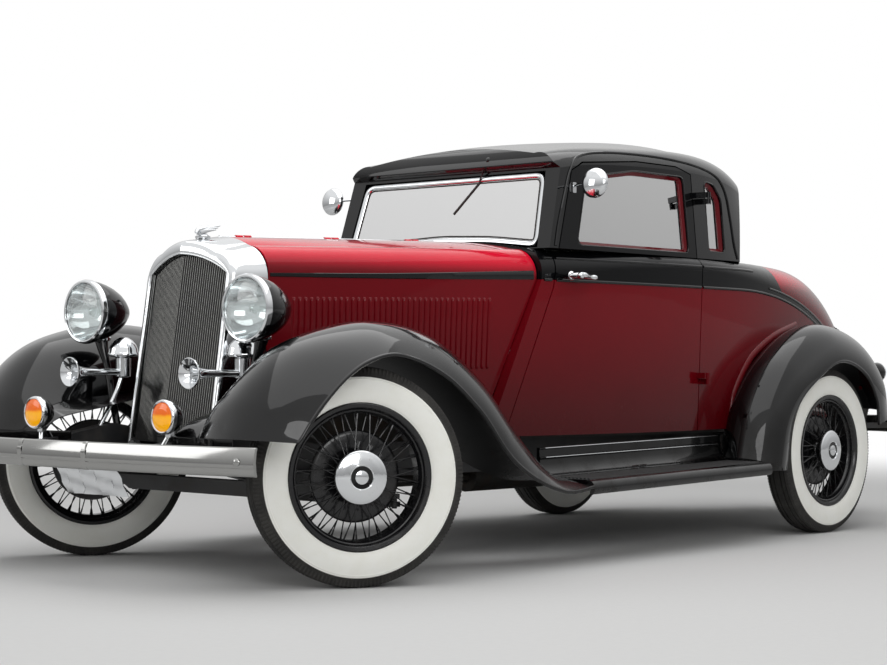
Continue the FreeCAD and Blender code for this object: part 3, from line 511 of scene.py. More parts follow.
class Shop:
    """All the finishes of this car."""

    MAROON = Lacquer("maroon_lacquer")
    # The reveals sit high, so bleached is just their own dark red here and they get no painted
    # highlight.
    REVEAL = Lacquer("reveal_lacquer", bleached=(0.12, 0.002, 0.006))
    MAROON_BODY = Lacquer("maroon_body", scheme=Scheme.BODY)
    MAROON_DOOR = Lacquer("maroon_door", scheme=Scheme.DOOR)
    BLACK = Lacquer("black_lacquer", colour=(0.0030, 0.0031, 0.0038),
                    bleached=(0.0030, 0.0031, 0.0038), dust=0.03, gloss=1.42)
    CHROME = Chrome("chrome_plate")
    # Darker copy of the chrome plate: painted shade that dims the bumper's reflections.
    BUMPER = Chrome("bumper_plate", tint=(0.37, 0.37, 0.36), haze=0.06)
    # Darker copy of the chrome plate: painted shade for the dim grille bars.
    GRILLE = Chrome("grille_plate", tint=(0.24, 0.24, 0.23), haze=0.10)
    TREAD = Rubber("tread_rubber")
    WHITEWALL = Rubber("whitewall_rubber", colour=(0.95, 0.95, 0.90), chalk=(0.84, 0.83, 0.73),
                       share=0.35, rough=0.42)
    MAT = Rubber("mat_rubber", colour=(0.016, 0.016, 0.017), share=0.25, rough=0.5)
    PANE = Glazing("plate_glass", mirror=0.60)
    SHIELD = Glazing("shield_glass", mirror=0.62)
    CLEAR_LENS = Lens("clear_lens")
    FLUTED = Lens("fluted_lens", rough=0.02, weight=0.95)
    # Painted light: the unlit fog lens glows faintly through its amber glass.
    AMBER_LENS = Lens("amber_lens", tint=(1.0, 0.50, 0.006), weight=0.12, rough=0.10,
                      shade=(0.80, 0.15, 0.002), shade_from=0.548, glow=0.30)
    RED_LENS = Lens("red_lens", tint=(0.55, 0.01, 0.008), weight=0.5, rough=0.10)
    CLOTH = Woven("seat_cloth")
    LINING = Woven("roof_lining", colour=(0.27, 0.23, 0.18), thread=700.0)
    CARPET = Woven("floor_carpet", colour=(0.035, 0.030, 0.028), thread=500.0)
    CHASSIS = Painted("chassis_paint")
    WHEEL_BLACK = Painted("wheel_enamel", colour=(0.006, 0.006, 0.007), share=0.12, rough=0.20,
                          pits=30.0)
    CAST = Painted("cast_iron", colour=(0.055, 0.052, 0.048), worn=(0.13, 0.07, 0.035),
                   share=0.5, rough=0.62, metallic=0.6)
    STEEL = Painted("bare_steel", colour=(0.30, 0.30, 0.30), worn=(0.12, 0.08, 0.05),
                    share=0.35, rough=0.36, metallic=0.9)
    BAKELITE = Painted("dark_bakelite", colour=(0.012, 0.009, 0.008), share=0.10, rough=0.22,
                       pits=180.0)
    WOODGRAIN = Painted("dash_enamel", colour=(0.09, 0.04, 0.018), worn=(0.04, 0.018, 0.008),
                        share=0.6, rough=0.30)
    CORE = Honeycomb("radiator_core")
    MIRROR = Chrome("mirror_glass", tint=(0.88, 0.9, 0.9), haze=0.0)


# Mesh building


class Form:
    """Points and faces under construction, with the finish number of each face."""

    def __init__(self) -> None:
        """Start empty."""
        self.points: list[Vector] = []
        self.faces: list[tuple[int, ...]] = []
        self.slots: list[int] = []

    def add(self, points: Iterable, faces: Sequence, slot: int = 0) -> "Form":
        """Append points and faces that count from them."""
        base = len(self.points)
        self.points += [Vector(p) for p in points]
        self.faces += [tuple(base + i for i in face) for face in faces]
        self.slots += [slot] * len(faces)
        return self

    def revolve(self, profile: Sequence[Pair], steps: int = 64, slot: int = 0) -> "Form":
        """Turn (along, radius) points about the X axis."""
        count = len(profile)
        points = [polar(along, radius, math.tau * i / steps)
                  for i in range(steps) for along, radius in profile]
        faces = [(i * count + j, i * count + j + 1, (i + 1) % steps * count + j + 1,
                  (i + 1) % steps * count + j)
                 for i in range(steps) for j in range(count - 1)]
        return self.add(points, faces, slot)

    def loft(self, rings: Sequence[Sequence], slot: int = 0, closed: bool = True,
             loop: bool = False) -> "Form":
        """Skin between rings of equally many points.

        Args:
            rings: the sections in order.
            slot: finish number.
            closed: whether each section is a closed line, filled at both ends.
            loop: whether the last section joins the first.

        Returns:
            The form itself.
        """
        count = len(rings[0])
        points = [p for ring in rings for p in ring]
        spans = len(rings) if loop else len(rings) - 1
        width = count if closed else count - 1
        faces = [(i * count + j, i * count + (j + 1) % count,
                  (i + 1) % len(rings) * count + (j + 1) % count,
                  (i + 1) % len(rings) * count + j)
                 for i in range(spans) for j in range(width)]
        if closed and not loop:
            faces.append(tuple(reversed(range(count))))
            faces.append(tuple(range((len(rings) - 1) * count, len(rings) * count)))
        return self.add(points, faces, slot)

    def sweep(self, path: Sequence[Vector], section: Sequence[Pair],
              outward: "Sequence[Vector] | Vector", slot: int = 0, loop: bool = False) -> "Form":
        """Carry a flat (side, out) section along a path.

        Args:
            path: the line to follow.
            section: closed outline; its second number points outwards.
            outward: one direction, or one for each point of the path.
            slot: finish number.
            loop: whether the path closes.

        Returns:
            The form itself.
        """
        rings = []
        outs = outward if isinstance(outward, list) else [outward] * len(path)
        for point, ahead, out in zip(path, headings(path, loop), outs):
            out = (out - ahead * out.dot(ahead)).normalized()
            side = ahead.cross(out)
            rings.append([point + side * a + out * b for a, b in section])
        return self.loft(rings, slot, loop=loop)

    def tube(self, path: Sequence[Vector], radius: "float | Sequence[float]", sides: int = 12,
             slot: int = 0, loop: bool = False) -> "Form":
        """Round bar along a path, its radius fixed or one for each point."""
        ahead = (path[1] - path[0]).normalized()
        out = ahead.orthogonal().normalized()
        rings = []
        sizes = radius if isinstance(radius, list) else [radius] * len(path)
        for point, new, size in zip(path, headings(path, loop), sizes):
            out = ahead.rotation_difference(new) @ out
            ahead = new
            side = ahead.cross(out)
            rings.append([point + (out * math.cos(t) + side * math.sin(t)) * size
                          for t in (math.tau * i / sides for i in range(sides))])
        return self.loft(rings, slot, loop=loop)

    def join(self, other: "Form", move: Matrix = Matrix.Identity(4)) -> "Form":
        """Append another form, moved by a matrix."""
        self.add([move @ p for p in other.points], other.faces)
        self.slots[len(self.slots) - len(other.slots):] = other.slots
        return self

    def turned(self, profile: Sequence[Pair], steps: int, place: Matrix,
               slot: int = 0) -> "Form":
        """Append a revolved profile, set in place."""
        return self.join(Form().revolve(profile, steps, slot), place)

    def mirrored(self) -> "Form":
        """The same form on the car's other side."""
        twin = Form().add(across(self.points), [tuple(reversed(face)) for face in self.faces])
        twin.slots = list(self.slots)
        return twin

    def on(self, side: Side) -> "Form":
        """A left form for the given side."""
        return self if side is Side.LEFT else self.mirrored()

    def pair(self) -> "Form":
        """The form with its mirror image."""
        return Form().join(self).join(self.mirrored())

    def mesh(self, name: str, crease: float = 35.0, bevel: float = 0.0) -> bpy.types.Mesh:
        """Merged mesh with outward faces and sharp edges by angle."""
        data = bpy.data.meshes.new(name)
        work = bmesh.new()
        points = [work.verts.new(p) for p in self.points]
        for face, slot in zip(self.faces, self.slots):
            corners = [points[i] for i in dict.fromkeys(face)]
            if len(corners) > 2:
                try:
                    work.faces.new(corners).material_index = slot
                except ValueError:
                    continue
        bmesh.ops.remove_doubles(work, verts=work.verts, dist=2e-5)
        bmesh.ops.dissolve_degenerate(work, dist=1e-6, edges=work.edges)
        if bevel:
            edges = [e for e in work.edges if len(e.link_faces) == 2
                     and e.calc_face_angle(0.0) > math.radians(crease)]
            bmesh.ops.bevel(work, geom=edges, offset=bevel, segments=2, profile=0.6,
                            affect="EDGES", clamp_overlap=True)
        bmesh.ops.recalc_face_normals(work, faces=work.faces)
        work.to_mesh(data)
        work.free()
        data.shade_smooth()
        data.set_sharp_from_angle(angle=math.radians(60.0 if bevel else crease))
        return data

    def piece(self, name: str, *finishes: Finish, body: str = "car",
              replaces: str | None = None, crease: float = 35.0,
              slot: str | None = None) -> None:
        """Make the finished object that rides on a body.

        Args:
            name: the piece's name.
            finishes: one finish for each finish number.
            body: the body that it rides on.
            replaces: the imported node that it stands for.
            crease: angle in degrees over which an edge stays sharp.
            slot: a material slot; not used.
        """
        thing = linked(name, self.mesh(name, crease))
        for finish in finishes:
            thing.data.materials.append(finish.material())
        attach(thing, body)
        if replaces:
            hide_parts(replaces)
        log.info("%s: %d faces on %s", name, len(thing.data.polygons), body)

    def fine(self, node: str, *finishes: Finish, slot: str, crease: float,
             body: str = "car") -> None:
        """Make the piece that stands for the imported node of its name."""
        self.piece(f"fine_{node}", *finishes, body=body, replaces=node, crease=crease, slot=slot)


def headings(path: Sequence[Vector], loop: bool) -> list[Vector]:
    """Unit direction of a line at each of its points."""
    last = len(path) - 1
    steps = ((path[(i + 1) % len(path)], path[i - 1]) if loop
             else (path[min(i + 1, last)], path[max(i - 1, 0)]) for i in range(len(path)))
    return [(after - before).normalized() for after, before in steps]


def circle_through(a: Pair, b: Pair, c: Pair) -> tuple[Pair, float]:
    """Centre and radius of the circle through three points."""
    (ax, ay), (bx, by), (cx, cy) = a, b, c
    d = 2 * (ax * (by - cy) + bx * (cy - ay) + cx * (ay - by))
    ux = ((ax * ax + ay * ay) * (by - cy) + (bx * bx + by * by) * (cy - ay)
          + (cx * cx + cy * cy) * (ay - by)) / d
    uy = ((ax * ax + ay * ay) * (cx - bx) + (bx * bx + by * by) * (ax - cx)
          + (cx * cx + cy * cy) * (bx - ax)) / d
    return (ux, uy), math.hypot(ax - ux, ay - uy)


def arc_of(a: Pair, b: Pair, c: Pair, steps: int, inset: float = 0.0) -> list[Pair]:
    """Points from a to c on the circle through all three, drawn in by inset."""
    (cx, cy), radius = circle_through(a, b, c)
    turns = [math.atan2(p[1] - cy, p[0] - cx) for p in (a, b, c)]
    for i in (1, 2):
        turns[i] = turns[i - 1] + math.remainder(turns[i] - turns[i - 1], math.tau)
    start, end = turns[0], turns[2]
    return [(cx + (radius - inset) * math.cos(t), cy + (radius - inset) * math.sin(t))
            for t in (start + (end - start) * i / steps for i in range(steps + 1))]


def rounded(corners: Sequence[Pair], radius: float, steps: int = 5) -> list[Pair]:
    """Closed flat outline with its corners rounded."""
    outline: list[Pair] = []
    count = len(corners)
    for i in range(count):
        here, before, after = (Vector(corners[j % count]) for j in (i, i - 1, i + 1))
        one, two = (before - here), (after - here)
        reach = min(radius, one.length * 0.45, two.length * 0.45)
        a, b = here + one.normalized() * reach, here + two.normalized() * reach
        for k in range(steps + 1):
            t = k / steps
            outline.append(tuple(a * (1 - t) ** 2 + here * 2 * t * (1 - t) + b * t * t))
    return outline


def eased(points: Sequence, per_span: int = 8, loop: bool = False) -> list[Vector]:
    """Smooth line through points of any dimension."""
    rows = [Vector(p) for p in points]
    count = len(rows)
    spans = count if loop else count - 1
    line: list[Vector] = []
    for i in range(spans):
        p1, p2 = rows[i], rows[(i + 1) % count]
        p0 = rows[i - 1] if loop or i > 0 else p1 * 2 - p2
        p3 = rows[(i + 2) % count] if loop or i + 2 < count else p2 * 2 - p1
        d1, d0, d2 = (p2 - p1).length, (p1 - p0).length, (p3 - p2).length
        m1 = ((p2 - p0) / max(d0 + d1, 1e-9)) * d1
        m2 = ((p3 - p1) / max(d1 + d2, 1e-9)) * d1
        for k in range(per_span):
            t = k / per_span
            line.append(p1 * (2 * t ** 3 - 3 * t ** 2 + 1) + m1 * (t ** 3 - 2 * t ** 2 + t)
                        + p2 * (3 * t ** 2 - 2 * t ** 3) + m2 * (t ** 3 - t ** 2))
    if not loop:
        line.append(rows[-1])
    return line


def run(per_span: int, *points: Triple) -> list[Vector]:
    """Smooth line through points of the car's own frame."""
    return eased([car(*p) for p in points], per_span)


def turn_to(point: Vector, ahead: Vector) -> Matrix:
    """Matrix that brings the X axis to a direction, at a point."""
    way = Vector((1, 0, 0)).rotation_difference(ahead.normalized()).to_matrix().to_4x4()
    return Matrix.Translation(point) @ way


class Skin:
    """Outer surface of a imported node, for laying trim on it."""

    def __init__(self, node: str) -> None:
        """Collect the node's triangles."""
        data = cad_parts[node].data
        self.tree = BVHTree.FromPolygons([v.co.copy() for v in data.vertices],
                                         [tuple(p.vertices) for p in data.polygons])

    def hit(self, start: Vector, way: Vector) -> tuple[Vector, Vector]:
        """First point and outward normal along a ray."""
        spot, normal, _, _ = self.tree.ray_cast(start, way)
        if spot is None:
            raise ValueError(f"no surface from {start} along {way}")
        return spot, (normal if normal.dot(way) < 0 else -normal)

    def side(self, y: float, z: float) -> tuple[Vector, Vector]:
        """Left surface at a height and length of the car's own frame."""
        return self.hit(car(1.5, y, z), Vector((-1, 0, 0)))

    def top(self, x: float, y: float) -> tuple[Vector, Vector]:
        """Surface seen from above."""
        return self.hit(car(x, y, 3.0), -UP)

    def lay(self, line: Sequence, lift: float = 0.0) -> tuple[list[Vector], list[Vector]]:
        """Line of (y, z) points laid on the left surface, with its normals."""
        found = [self.side(y, z) for y, z in line]
        return [spot + normal * lift for spot, normal in found], [n for _, n in found]


# Geometry Nodes


class Tree:
    """A Geometry Nodes tree with named inputs."""

    def __init__(self, name: str, inputs: dict[str, str]) -> None:
        """Make the group and its interface.

        Args:
            name: the tree's name.
            inputs: socket type of each named input.
        """
        self.group = bpy.data.node_groups.new(name, "GeometryNodeTree")
        face = self.group.interface
        face.new_socket("Geometry", in_out="INPUT", socket_type="NodeSocketGeometry")
        for label, kind in inputs.items():
            face.new_socket(label, in_out="INPUT", socket_type=kind)
        face.new_socket("Geometry", in_out="OUTPUT", socket_type="NodeSocketGeometry")
        self.given = self.group.nodes.new("NodeGroupInput").outputs
        self.exit = self.group.nodes.new("NodeGroupOutput")

    def node(self, kind: str, settings: dict | None = None, values: dict | None = None,
             out: int | str = 0) -> bpy.types.NodeSocket:
        """Add one node and give one of its outputs."""
        return add_node(self.group, kind, settings, values).outputs[out]

    def close(self, points: bpy.types.NodeSocket, unit: bpy.types.NodeSocket,
              values: dict) -> None:
        """End in Instance on Points, Realize Instances and Set Material."""
        placed = self.node("GeometryNodeInstanceOnPoints", values={
            "Points": points, "Instance": unit, **values})
        real = self.node("GeometryNodeRealizeInstances", values={0: placed})
        dressed = self.node("GeometryNodeSetMaterial", values={
            "Geometry": real, "Material": self.given["Finish"]})
        self.group.links.new(dressed, self.exit.inputs[0])

    def grow(self, carrier: bpy.types.Mesh, values: dict, slot: int = 0) -> Form:
        """Run the tree on a mesh.

        Args:
            carrier: the mesh that enters the tree.
            values: what the named inputs get.
            slot: finish number of the result's faces.

        Returns:
            The result as a form.
        """
        thing = linked("growing", carrier)
        step = thing.modifiers.new("grow", "NODES")
        step.node_group = self.group
        for item in self.group.interface.items_tree:
            if item.item_type == "SOCKET" and item.in_out == "INPUT" and item.name in values:
                step[item.identifier] = values[item.name]
        graph = bpy.context.evaluated_depsgraph_get()
        made = bpy.data.meshes.new_from_object(thing.evaluated_get(graph))
        form = Form().add([v.co for v in made.vertices],
                          [tuple(p.vertices) for p in made.polygons], slot)
        bpy.data.objects.remove(thing)
        bpy.data.meshes.remove(made)
        return form


class Repeats:
    """The trees that this car's repeating details share."""

    def __init__(self) -> None:
        """Build both trees."""
        self.round = self.ring_tree()
        self.laid = self.laid_tree()

    @staticmethod
    def ring_tree() -> Tree:
        """Unit repeated evenly about the X axis."""
        tree = Tree("ring_of_pieces", {"Count": "NodeSocketInt", "Turn": "NodeSocketFloat",
                                       "Finish": "NodeSocketMaterial"})
        line = tree.node("GeometryNodeMeshLine", values={
            "Count": tree.given["Count"], "Offset": (0.0, 0.0, 0.0)})
        angle = tree.node("ShaderNodeMath", {"operation": "MULTIPLY"}, {
            0: tree.node("GeometryNodeInputIndex"), 1: tree.given["Turn"]})
        turn = tree.node("ShaderNodeCombineXYZ", values={"X": angle})
        tree.close(line, tree.given["Geometry"], {"Rotation": turn})
        return tree

    @staticmethod
    def laid_tree() -> Tree:
        """Unit set on every point of the carrier, turned and scaled by its attributes."""
        tree = Tree("pieces_on_points", {"Unit": "NodeSocketObject", "Size": "NodeSocketFloat",
                                         "Finish": "NodeSocketMaterial"})
        unit = tree.node("GeometryNodeObjectInfo", values={0: tree.given["Unit"]},
                         out="Geometry")
        turn, size = (tree.node("GeometryNodeInputNamedAttribute",
                                {"data_type": "FLOAT_VECTOR"}, {"Name": label})
                      for label in ("turn", "size"))
        scale = tree.node("ShaderNodeVectorMath", {"operation": "SCALE"}, {
            0: size, "Scale": tree.given["Size"]})
        tree.close(tree.given["Geometry"], unit, {"Rotation": turn, "Scale": scale})
        return tree

    def ring(self, unit: Form, count: int, finish: Finish, slot: int = 0) -> Form:
        """The unit repeated about the X axis."""
        return self.round.grow(unit.mesh("unit"), {
            "Count": count, "Turn": math.tau / count, "Finish": finish.material()}, slot)

    def lay(self, unit: Form, spots: Sequence[tuple[Vector, Matrix, Triple]], finish: Finish,
            slot: int = 0) -> Form:
        """The unit set at each (place, turn, size)."""
        carrier = bpy.data.meshes.new("points")
        carrier.from_pydata([s[0] for s in spots], [], [])
        for label, rows in (("turn", [tuple(s[1].to_euler()) for s in spots]),
                            ("size", [s[2] for s in spots])):
            layer = carrier.attributes.new(label, "FLOAT_VECTOR", "POINT")
            layer.data.foreach_set("vector", [n for row in rows for n in row])
        holder = linked("unit", unit.mesh("unit"))
        form = self.laid.grow(carrier, {"Unit": holder, "Size": 1.0,
                                        "Finish": finish.material()}, slot)
        bpy.data.objects.remove(holder)
        return form


def facing(normal: Vector, along: Vector) -> Matrix:
    """Turn with Z to the normal and X as near along as it can be."""
    z = normal.normalized()
    x = (along - z * along.dot(z)).normalized()
    y = z.cross(x)
    return Matrix((x, y, z)).transposed()


# Running gear


def wheel_place(side: Side, axle_y: float) -> Matrix:
    """Place of a wheel drawn about X with its outer face to +X."""
    matrix = Matrix.Translation(car(side.value * TRACK / 2, axle_y, TYRE_R))
    if side is Side.RIGHT:
        matrix = matrix @ Matrix.Rotation(math.pi, 4, "Z")
    if axle_y < 0:
        pin = Matrix.Translation(car(side.value * KINGPIN_X, axle_y, 0))
        matrix = pin @ Matrix.Rotation(STEER, 4, "Z") @ pin.inverted() @ matrix
    return matrix


SPARE = (Matrix.Translation(car(0, 2.490, 0.605)) @ Matrix.Rotation(math.radians(8), 4, "X")
         @ Matrix.Rotation(math.radians(90), 4, "Z"))
WHEELS = {end[0] + side.word[0]: (side, axle_y, f"wheel_{end}_{side.word}")
          for end, axle_y in (("front", FRONT_Y), ("rear", REAR_Y)) for side in Side}


@dataclass
class Tyre:
    """Balloon tyre with a whitewall, shoulder lugs and a grooved tread."""

    white_inner: float = 0.2400
    white_outer: float = 0.3195
    lugs: int = 168
    lug: float = 0.0058

    def carcass(self) -> Form:
        """Outer skin from bead to bead, white between the two rings."""
        outer = [(0.044, 0.2235), (0.0475, 0.2280), (0.0545, self.white_inner - 0.0015),
                 (0.0560, self.white_inner), (0.0618, 0.2520), (0.0650, 0.2680),
                 (0.0659, 0.2860), (0.0650, 0.3020), (0.0634, 0.3120), (0.0641, 0.3135),
                 (0.0632, 0.3150), (0.0616, self.white_outer), (0.0606, self.white_outer + 0.002),
                 (0.0572, 0.3275), (0.0530, 0.3325), (0.0478, 0.3472), (0.0440, 0.3508)]
        tread = mm(38.5, 352.8, 37.5, 346.6, 33.5, 346.6, 32.5, 353.5, 19.5, 354.3, 18.5, 347.6,
                   14.5, 347.6, 13.5, 354.6)
        half = outer + tread
        profile = half + [(-a, r) for a, r in reversed(half)]
        white = range(3, 12)
        mirror = {len(profile) - 2 - i for i in white}
        form = Form().revolve(profile, 128)
        strips = [int(i in white or i in mirror) for i in range(len(profile) - 1)]
        form.slots = strips * 128
        return form.revolve(mm(44, 223.5, 45.5, 224, 0, 225, -45.5, 224, -44, 223.5), 64)

    def make(self, repeats: Repeats) -> Form:
        """Tyre about the X axis with its repeated lugs."""
        thick = self.lug
        unit = Form()
        for sign in (1, -1):
            low, high = 0.3268, 0.3505
            unit.loft([[(sign * x, y * thick / 2, z) for x, y, z in ring] for ring in (
                ((0.056, -1, low), (0.056, 1, low), (0.052, 1, low - 0.002),
                 (0.052, -1, low - 0.002)),
                ((0.0492, -1, high), (0.0492, 1, high), (0.040, 1, high), (0.040, -1, high)))])
            for place, lean in ((0.0265, -0.0035), (0.0065, 0.0035)):
                unit.loft([[(sign * place + a, b + (lean if a < 0 else -lean), z)
                            for a, b in box(0.0052, 0.0018)] for z in (0.3525, 0.3546)])
        return self.carcass().join(repeats.ring(unit, self.lugs, Shop.TREAD))


@dataclass
class WireWheel:
    """Enamelled wire wheel: stepped rim, crossed spokes, brake drum and plated hubcap."""

    rim: float = 0.222
    hub: float = 0.038
    drum: float = 0.150
    spoke: float = 0.0023
    spokes: int = 15
    cap: float = 0.085

    def metal(self) -> Form:
        """Rim, hub shell and drum."""
        rim = mm(-54, 13, -56, 8.5, -49, -0.5, -30, -0.5, -20, -10, 20, -10, 30, -0.5, 47, -0.5,
                 51.5, 4, 54.5, 15, 57.5, 15.8, 59, 12.5, 57.5, 2, 52, -4, 46, -6, 44, -10,
                 33, -11.5, 25, -17, -25, -17, -33, -6, -50, -5, -59, 6, -58, 14, -54, 13)
        hub = [(-0.012, 0.018), (-0.012, self.hub), (0.004, self.hub + 0.004),
               (0.010, self.hub), (0.040, self.hub), (0.046, 0.062), (0.052, 0.080),
               (0.057, 0.0885), (0.0605, 0.0875), (0.061, 0.060), (0.061, 0.0)]
        drum = [(-0.012, 0.030), (-0.004, 0.060), (-0.004, 0.135), (-0.0065, 0.146),
                (-0.010, self.drum), (-0.019, self.drum), (-0.019, self.drum - 0.008),
                (-0.012, self.drum - 0.010), (-0.012, 0.030)]
        form = Form().revolve([(along, self.rim + rise) for along, rise in rim], 112)
        return form.revolve(hub, 64).revolve(drum, 72)

    def plated(self) -> Form:
        """Hubcap: dished plate with stepped rings round a plain boss."""
        face = mm(60, 0, 63.2, 0.5, 65.5, -3, 66.8, -8.5, 70, -18, 72.2, -29, 73.5, -40,
                  74.2, -45, 72.8, -48, 70, -49)
        return Form().revolve([(along, self.cap + rise) for along, rise in face], 96, 1)

    def centre(self) -> Form:
        """Dark recessed ring round a plain domed boss."""
        form = Form().revolve([(0.0702, self.cap - 0.0485), (0.0695, 0.022)], 64, 2)
        return form.revolve(mm(69.2, 22.5, 72.2, 22, 74.5, 15, 75.2, 0), 48, 1)

    def spoke_unit(self) -> Form:
        """Two crossed spokes of each row with their nipples."""
        form = Form()
        step = math.tau / self.spokes
        rows = ((0.006, -0.020, 0.42), (0.050, 0.016, 0.36))
        for row, (hub_x, rim_x, lead) in enumerate(rows):
            for sign in (1, -1):
                angle = step * (0.25 * sign + 0.5 * row)
                foot_angle = angle + sign * lead
                foot_r = self.hub + (0.018 if row else 0.0)
                foot = polar(hub_x, foot_r, foot_angle)
                tip = polar(rim_x, self.rim - 0.0165, angle)
                run = (tip - foot).normalized()
                form.tube([foot, tip], self.spoke, 6)
                form.tube([tip - run * 0.020, tip - run * 0.004, tip], [0.0032, 0.0036, 0.0045], 6)
        return form

    def make(self, repeats: Repeats) -> Form:
        """The whole wheel about the X axis."""
        spokes = repeats.ring(self.spoke_unit(), self.spokes, Shop.WHEEL_BLACK)
        return self.metal().join(spokes).join(self.plated()).join(self.centre())


@dataclass
class RunningGear:
    """Five tyres and wire wheels."""

    tyre: Tyre = field(default_factory=Tyre)
    wheel: WireWheel = field(default_factory=WireWheel)

    def build(self, repeats: Repeats) -> None:
        """Make each tyre and wheel and set it on its body."""
        rubber, metal = self.tyre.make(repeats), self.wheel.make(repeats)
        sets = [(f"tyre_{code}", f"wheel_{code}", wheel_place(side, axle_y), body)
                for code, (side, axle_y, body) in WHEELS.items()]
        for tyre, wheel, place, body in (*sets, ("spare_tyre", "spare_wheel", SPARE, "car")):
            Form().join(rubber, place).fine(tyre, Shop.TREAD, Shop.WHITEWALL, body=body,
                                            crease=30, slot="tyre")
            Form().join(metal, place).fine(wheel, Shop.WHEEL_BLACK, Shop.CHROME, Shop.BLACK,
                                           body=body, crease=32, slot="black")


# Fenders and running boards


@dataclass
class Fender:
    """Flowing sheet-metal wing with a wired edge.

    Each row is y, z and lean in degrees of the crown, x and drop of the lip, x of the crown,
    x and drop of the inner edge, and where there is an apron the x and z of its foot.
    """

    rows: Sequence[Sequence[float]]
    sheet: float = 0.004
    bead: float = 0.0075
    across: int = 30
    per_span: int = 9

    def stations(self) -> list[tuple]:
        """Smooth sequence of section rows."""
        chord = [0.0]
        for a, b in zip(self.rows, self.rows[1:]):
            chord.append(chord[-1] + math.dist(a[:2], b[:2]))
        crown = eased([(*r[:2], 0) for r in self.rows], self.per_span)
        smooth = [[p[1] for p in eased([(c, row[k]) for c, row in zip(chord, self.rows)],
                                       self.per_span)]
                  for k in range(2, len(self.rows[0]))]
        return [(spot[0], spot[1], *(s[i] for s in smooth)) for i, spot in enumerate(crown)]

    def section(self, row: Sequence[float], inset: float) -> list[Vector]:
        """Arc from the lip over the crown to the inner edge, shrunk by inset."""
        y, z, lean, lip_x, lip_d, crown_x, in_x, in_d = row[:8]
        a = math.radians(lean)
        down = Vector((0, math.sin(a), -math.cos(a)))
        return [car(x, y, z) - down * rise for x, rise in
                arc_of((lip_x, -lip_d), (crown_x, 0), (in_x, -in_d), self.across, inset)]

    def make(self) -> Form:
        """Left wing: both faces, its ends and the rolled edge."""
        rows = self.stations()
        rings = [self.section(r, 0.0) + list(reversed(self.section(r, self.sheet))) for r in rows]
        form = Form().loft(rings)
        edge = [self.section(r, self.sheet / 2)[0] - Vector((self.bead * 0.55, 0, 0))
                for r in rows]
        return form.tube(edge, self.bead, 12)

    def apron(self, spans: int) -> Form:
        """Splash sheet from the inner edge to the line in the last two columns."""
        rings = []
        for row in self.stations()[:spans * self.per_span + 1]:
            start, end = self.section(row, self.sheet / 2)[-1], car(row[8], row[0], row[9])
            end.y = start.y + (end.y - start.y) * 0.1
            rings.append([start, end, end - Vector((0, 0, 0.003)), start - Vector((0, 0, 0.003))])
        return Form().loft(rings)


FRONT_ROWS = [
    (-1.952, 0.485, 85, 0.850, 0.112, 0.585, 0.455, 0.052, 0.340, 0.484),
    (-1.885, 0.610, 53, 0.862, 0.114, 0.592, 0.434, 0.088, 0.336, 0.530),
    (-1.740, 0.756, 36, 0.866, 0.120, 0.628, 0.426, 0.200, 0.262, 0.575),
    (-1.580, 0.824, 20, 0.866, 0.104, 0.655, 0.424, 0.235, 0.238, 0.606),
    (-1.400, 0.850, 0, 0.866, 0.104, 0.720, 0.425, 0.240, 0.238, 0.626),
    (-1.130, 0.820, -17, 0.866, 0.150, 0.720, 0.430, 0.220, 0.275, 0.622),
    (-0.900, 0.690, -42, 0.866, 0.165, 0.720, 0.455, 0.170, 0.322, 0.606),
    (-0.700, 0.495, -45, 0.866, 0.160, 0.725, 0.490, 0.110, 0.384, 0.560),
    (-0.520, 0.345, -33, 0.866, 0.080, 0.735, 0.545, 0.040, 0.440, 0.500),
    (-0.380, 0.300, 0, 0.866, 0.018, 0.745, 0.606, 0.004, 0.500, 0.450)]
REAR_ROWS = [
    (0.800, 0.340, 75, 0.822, 0.200, 0.712, 0.580, 0.060),
    (0.885, 0.575, 62, 0.828, 0.170, 0.712, 0.575, 0.060),
    (1.060, 0.755, 42, 0.832, 0.165, 0.712, 0.560, 0.060),
    (1.400, 0.888, 3, 0.834, 0.150, 0.710, 0.530, 0.060),
    (1.700, 0.855, -18, 0.830, 0.180, 0.700, 0.480, 0.070),
    (1.930, 0.710, -48, 0.820, 0.220, 0.685, 0.420, 0.080),
    (2.040, 0.520, -75, 0.800, 0.230, 0.660, 0.390, 0.090)]


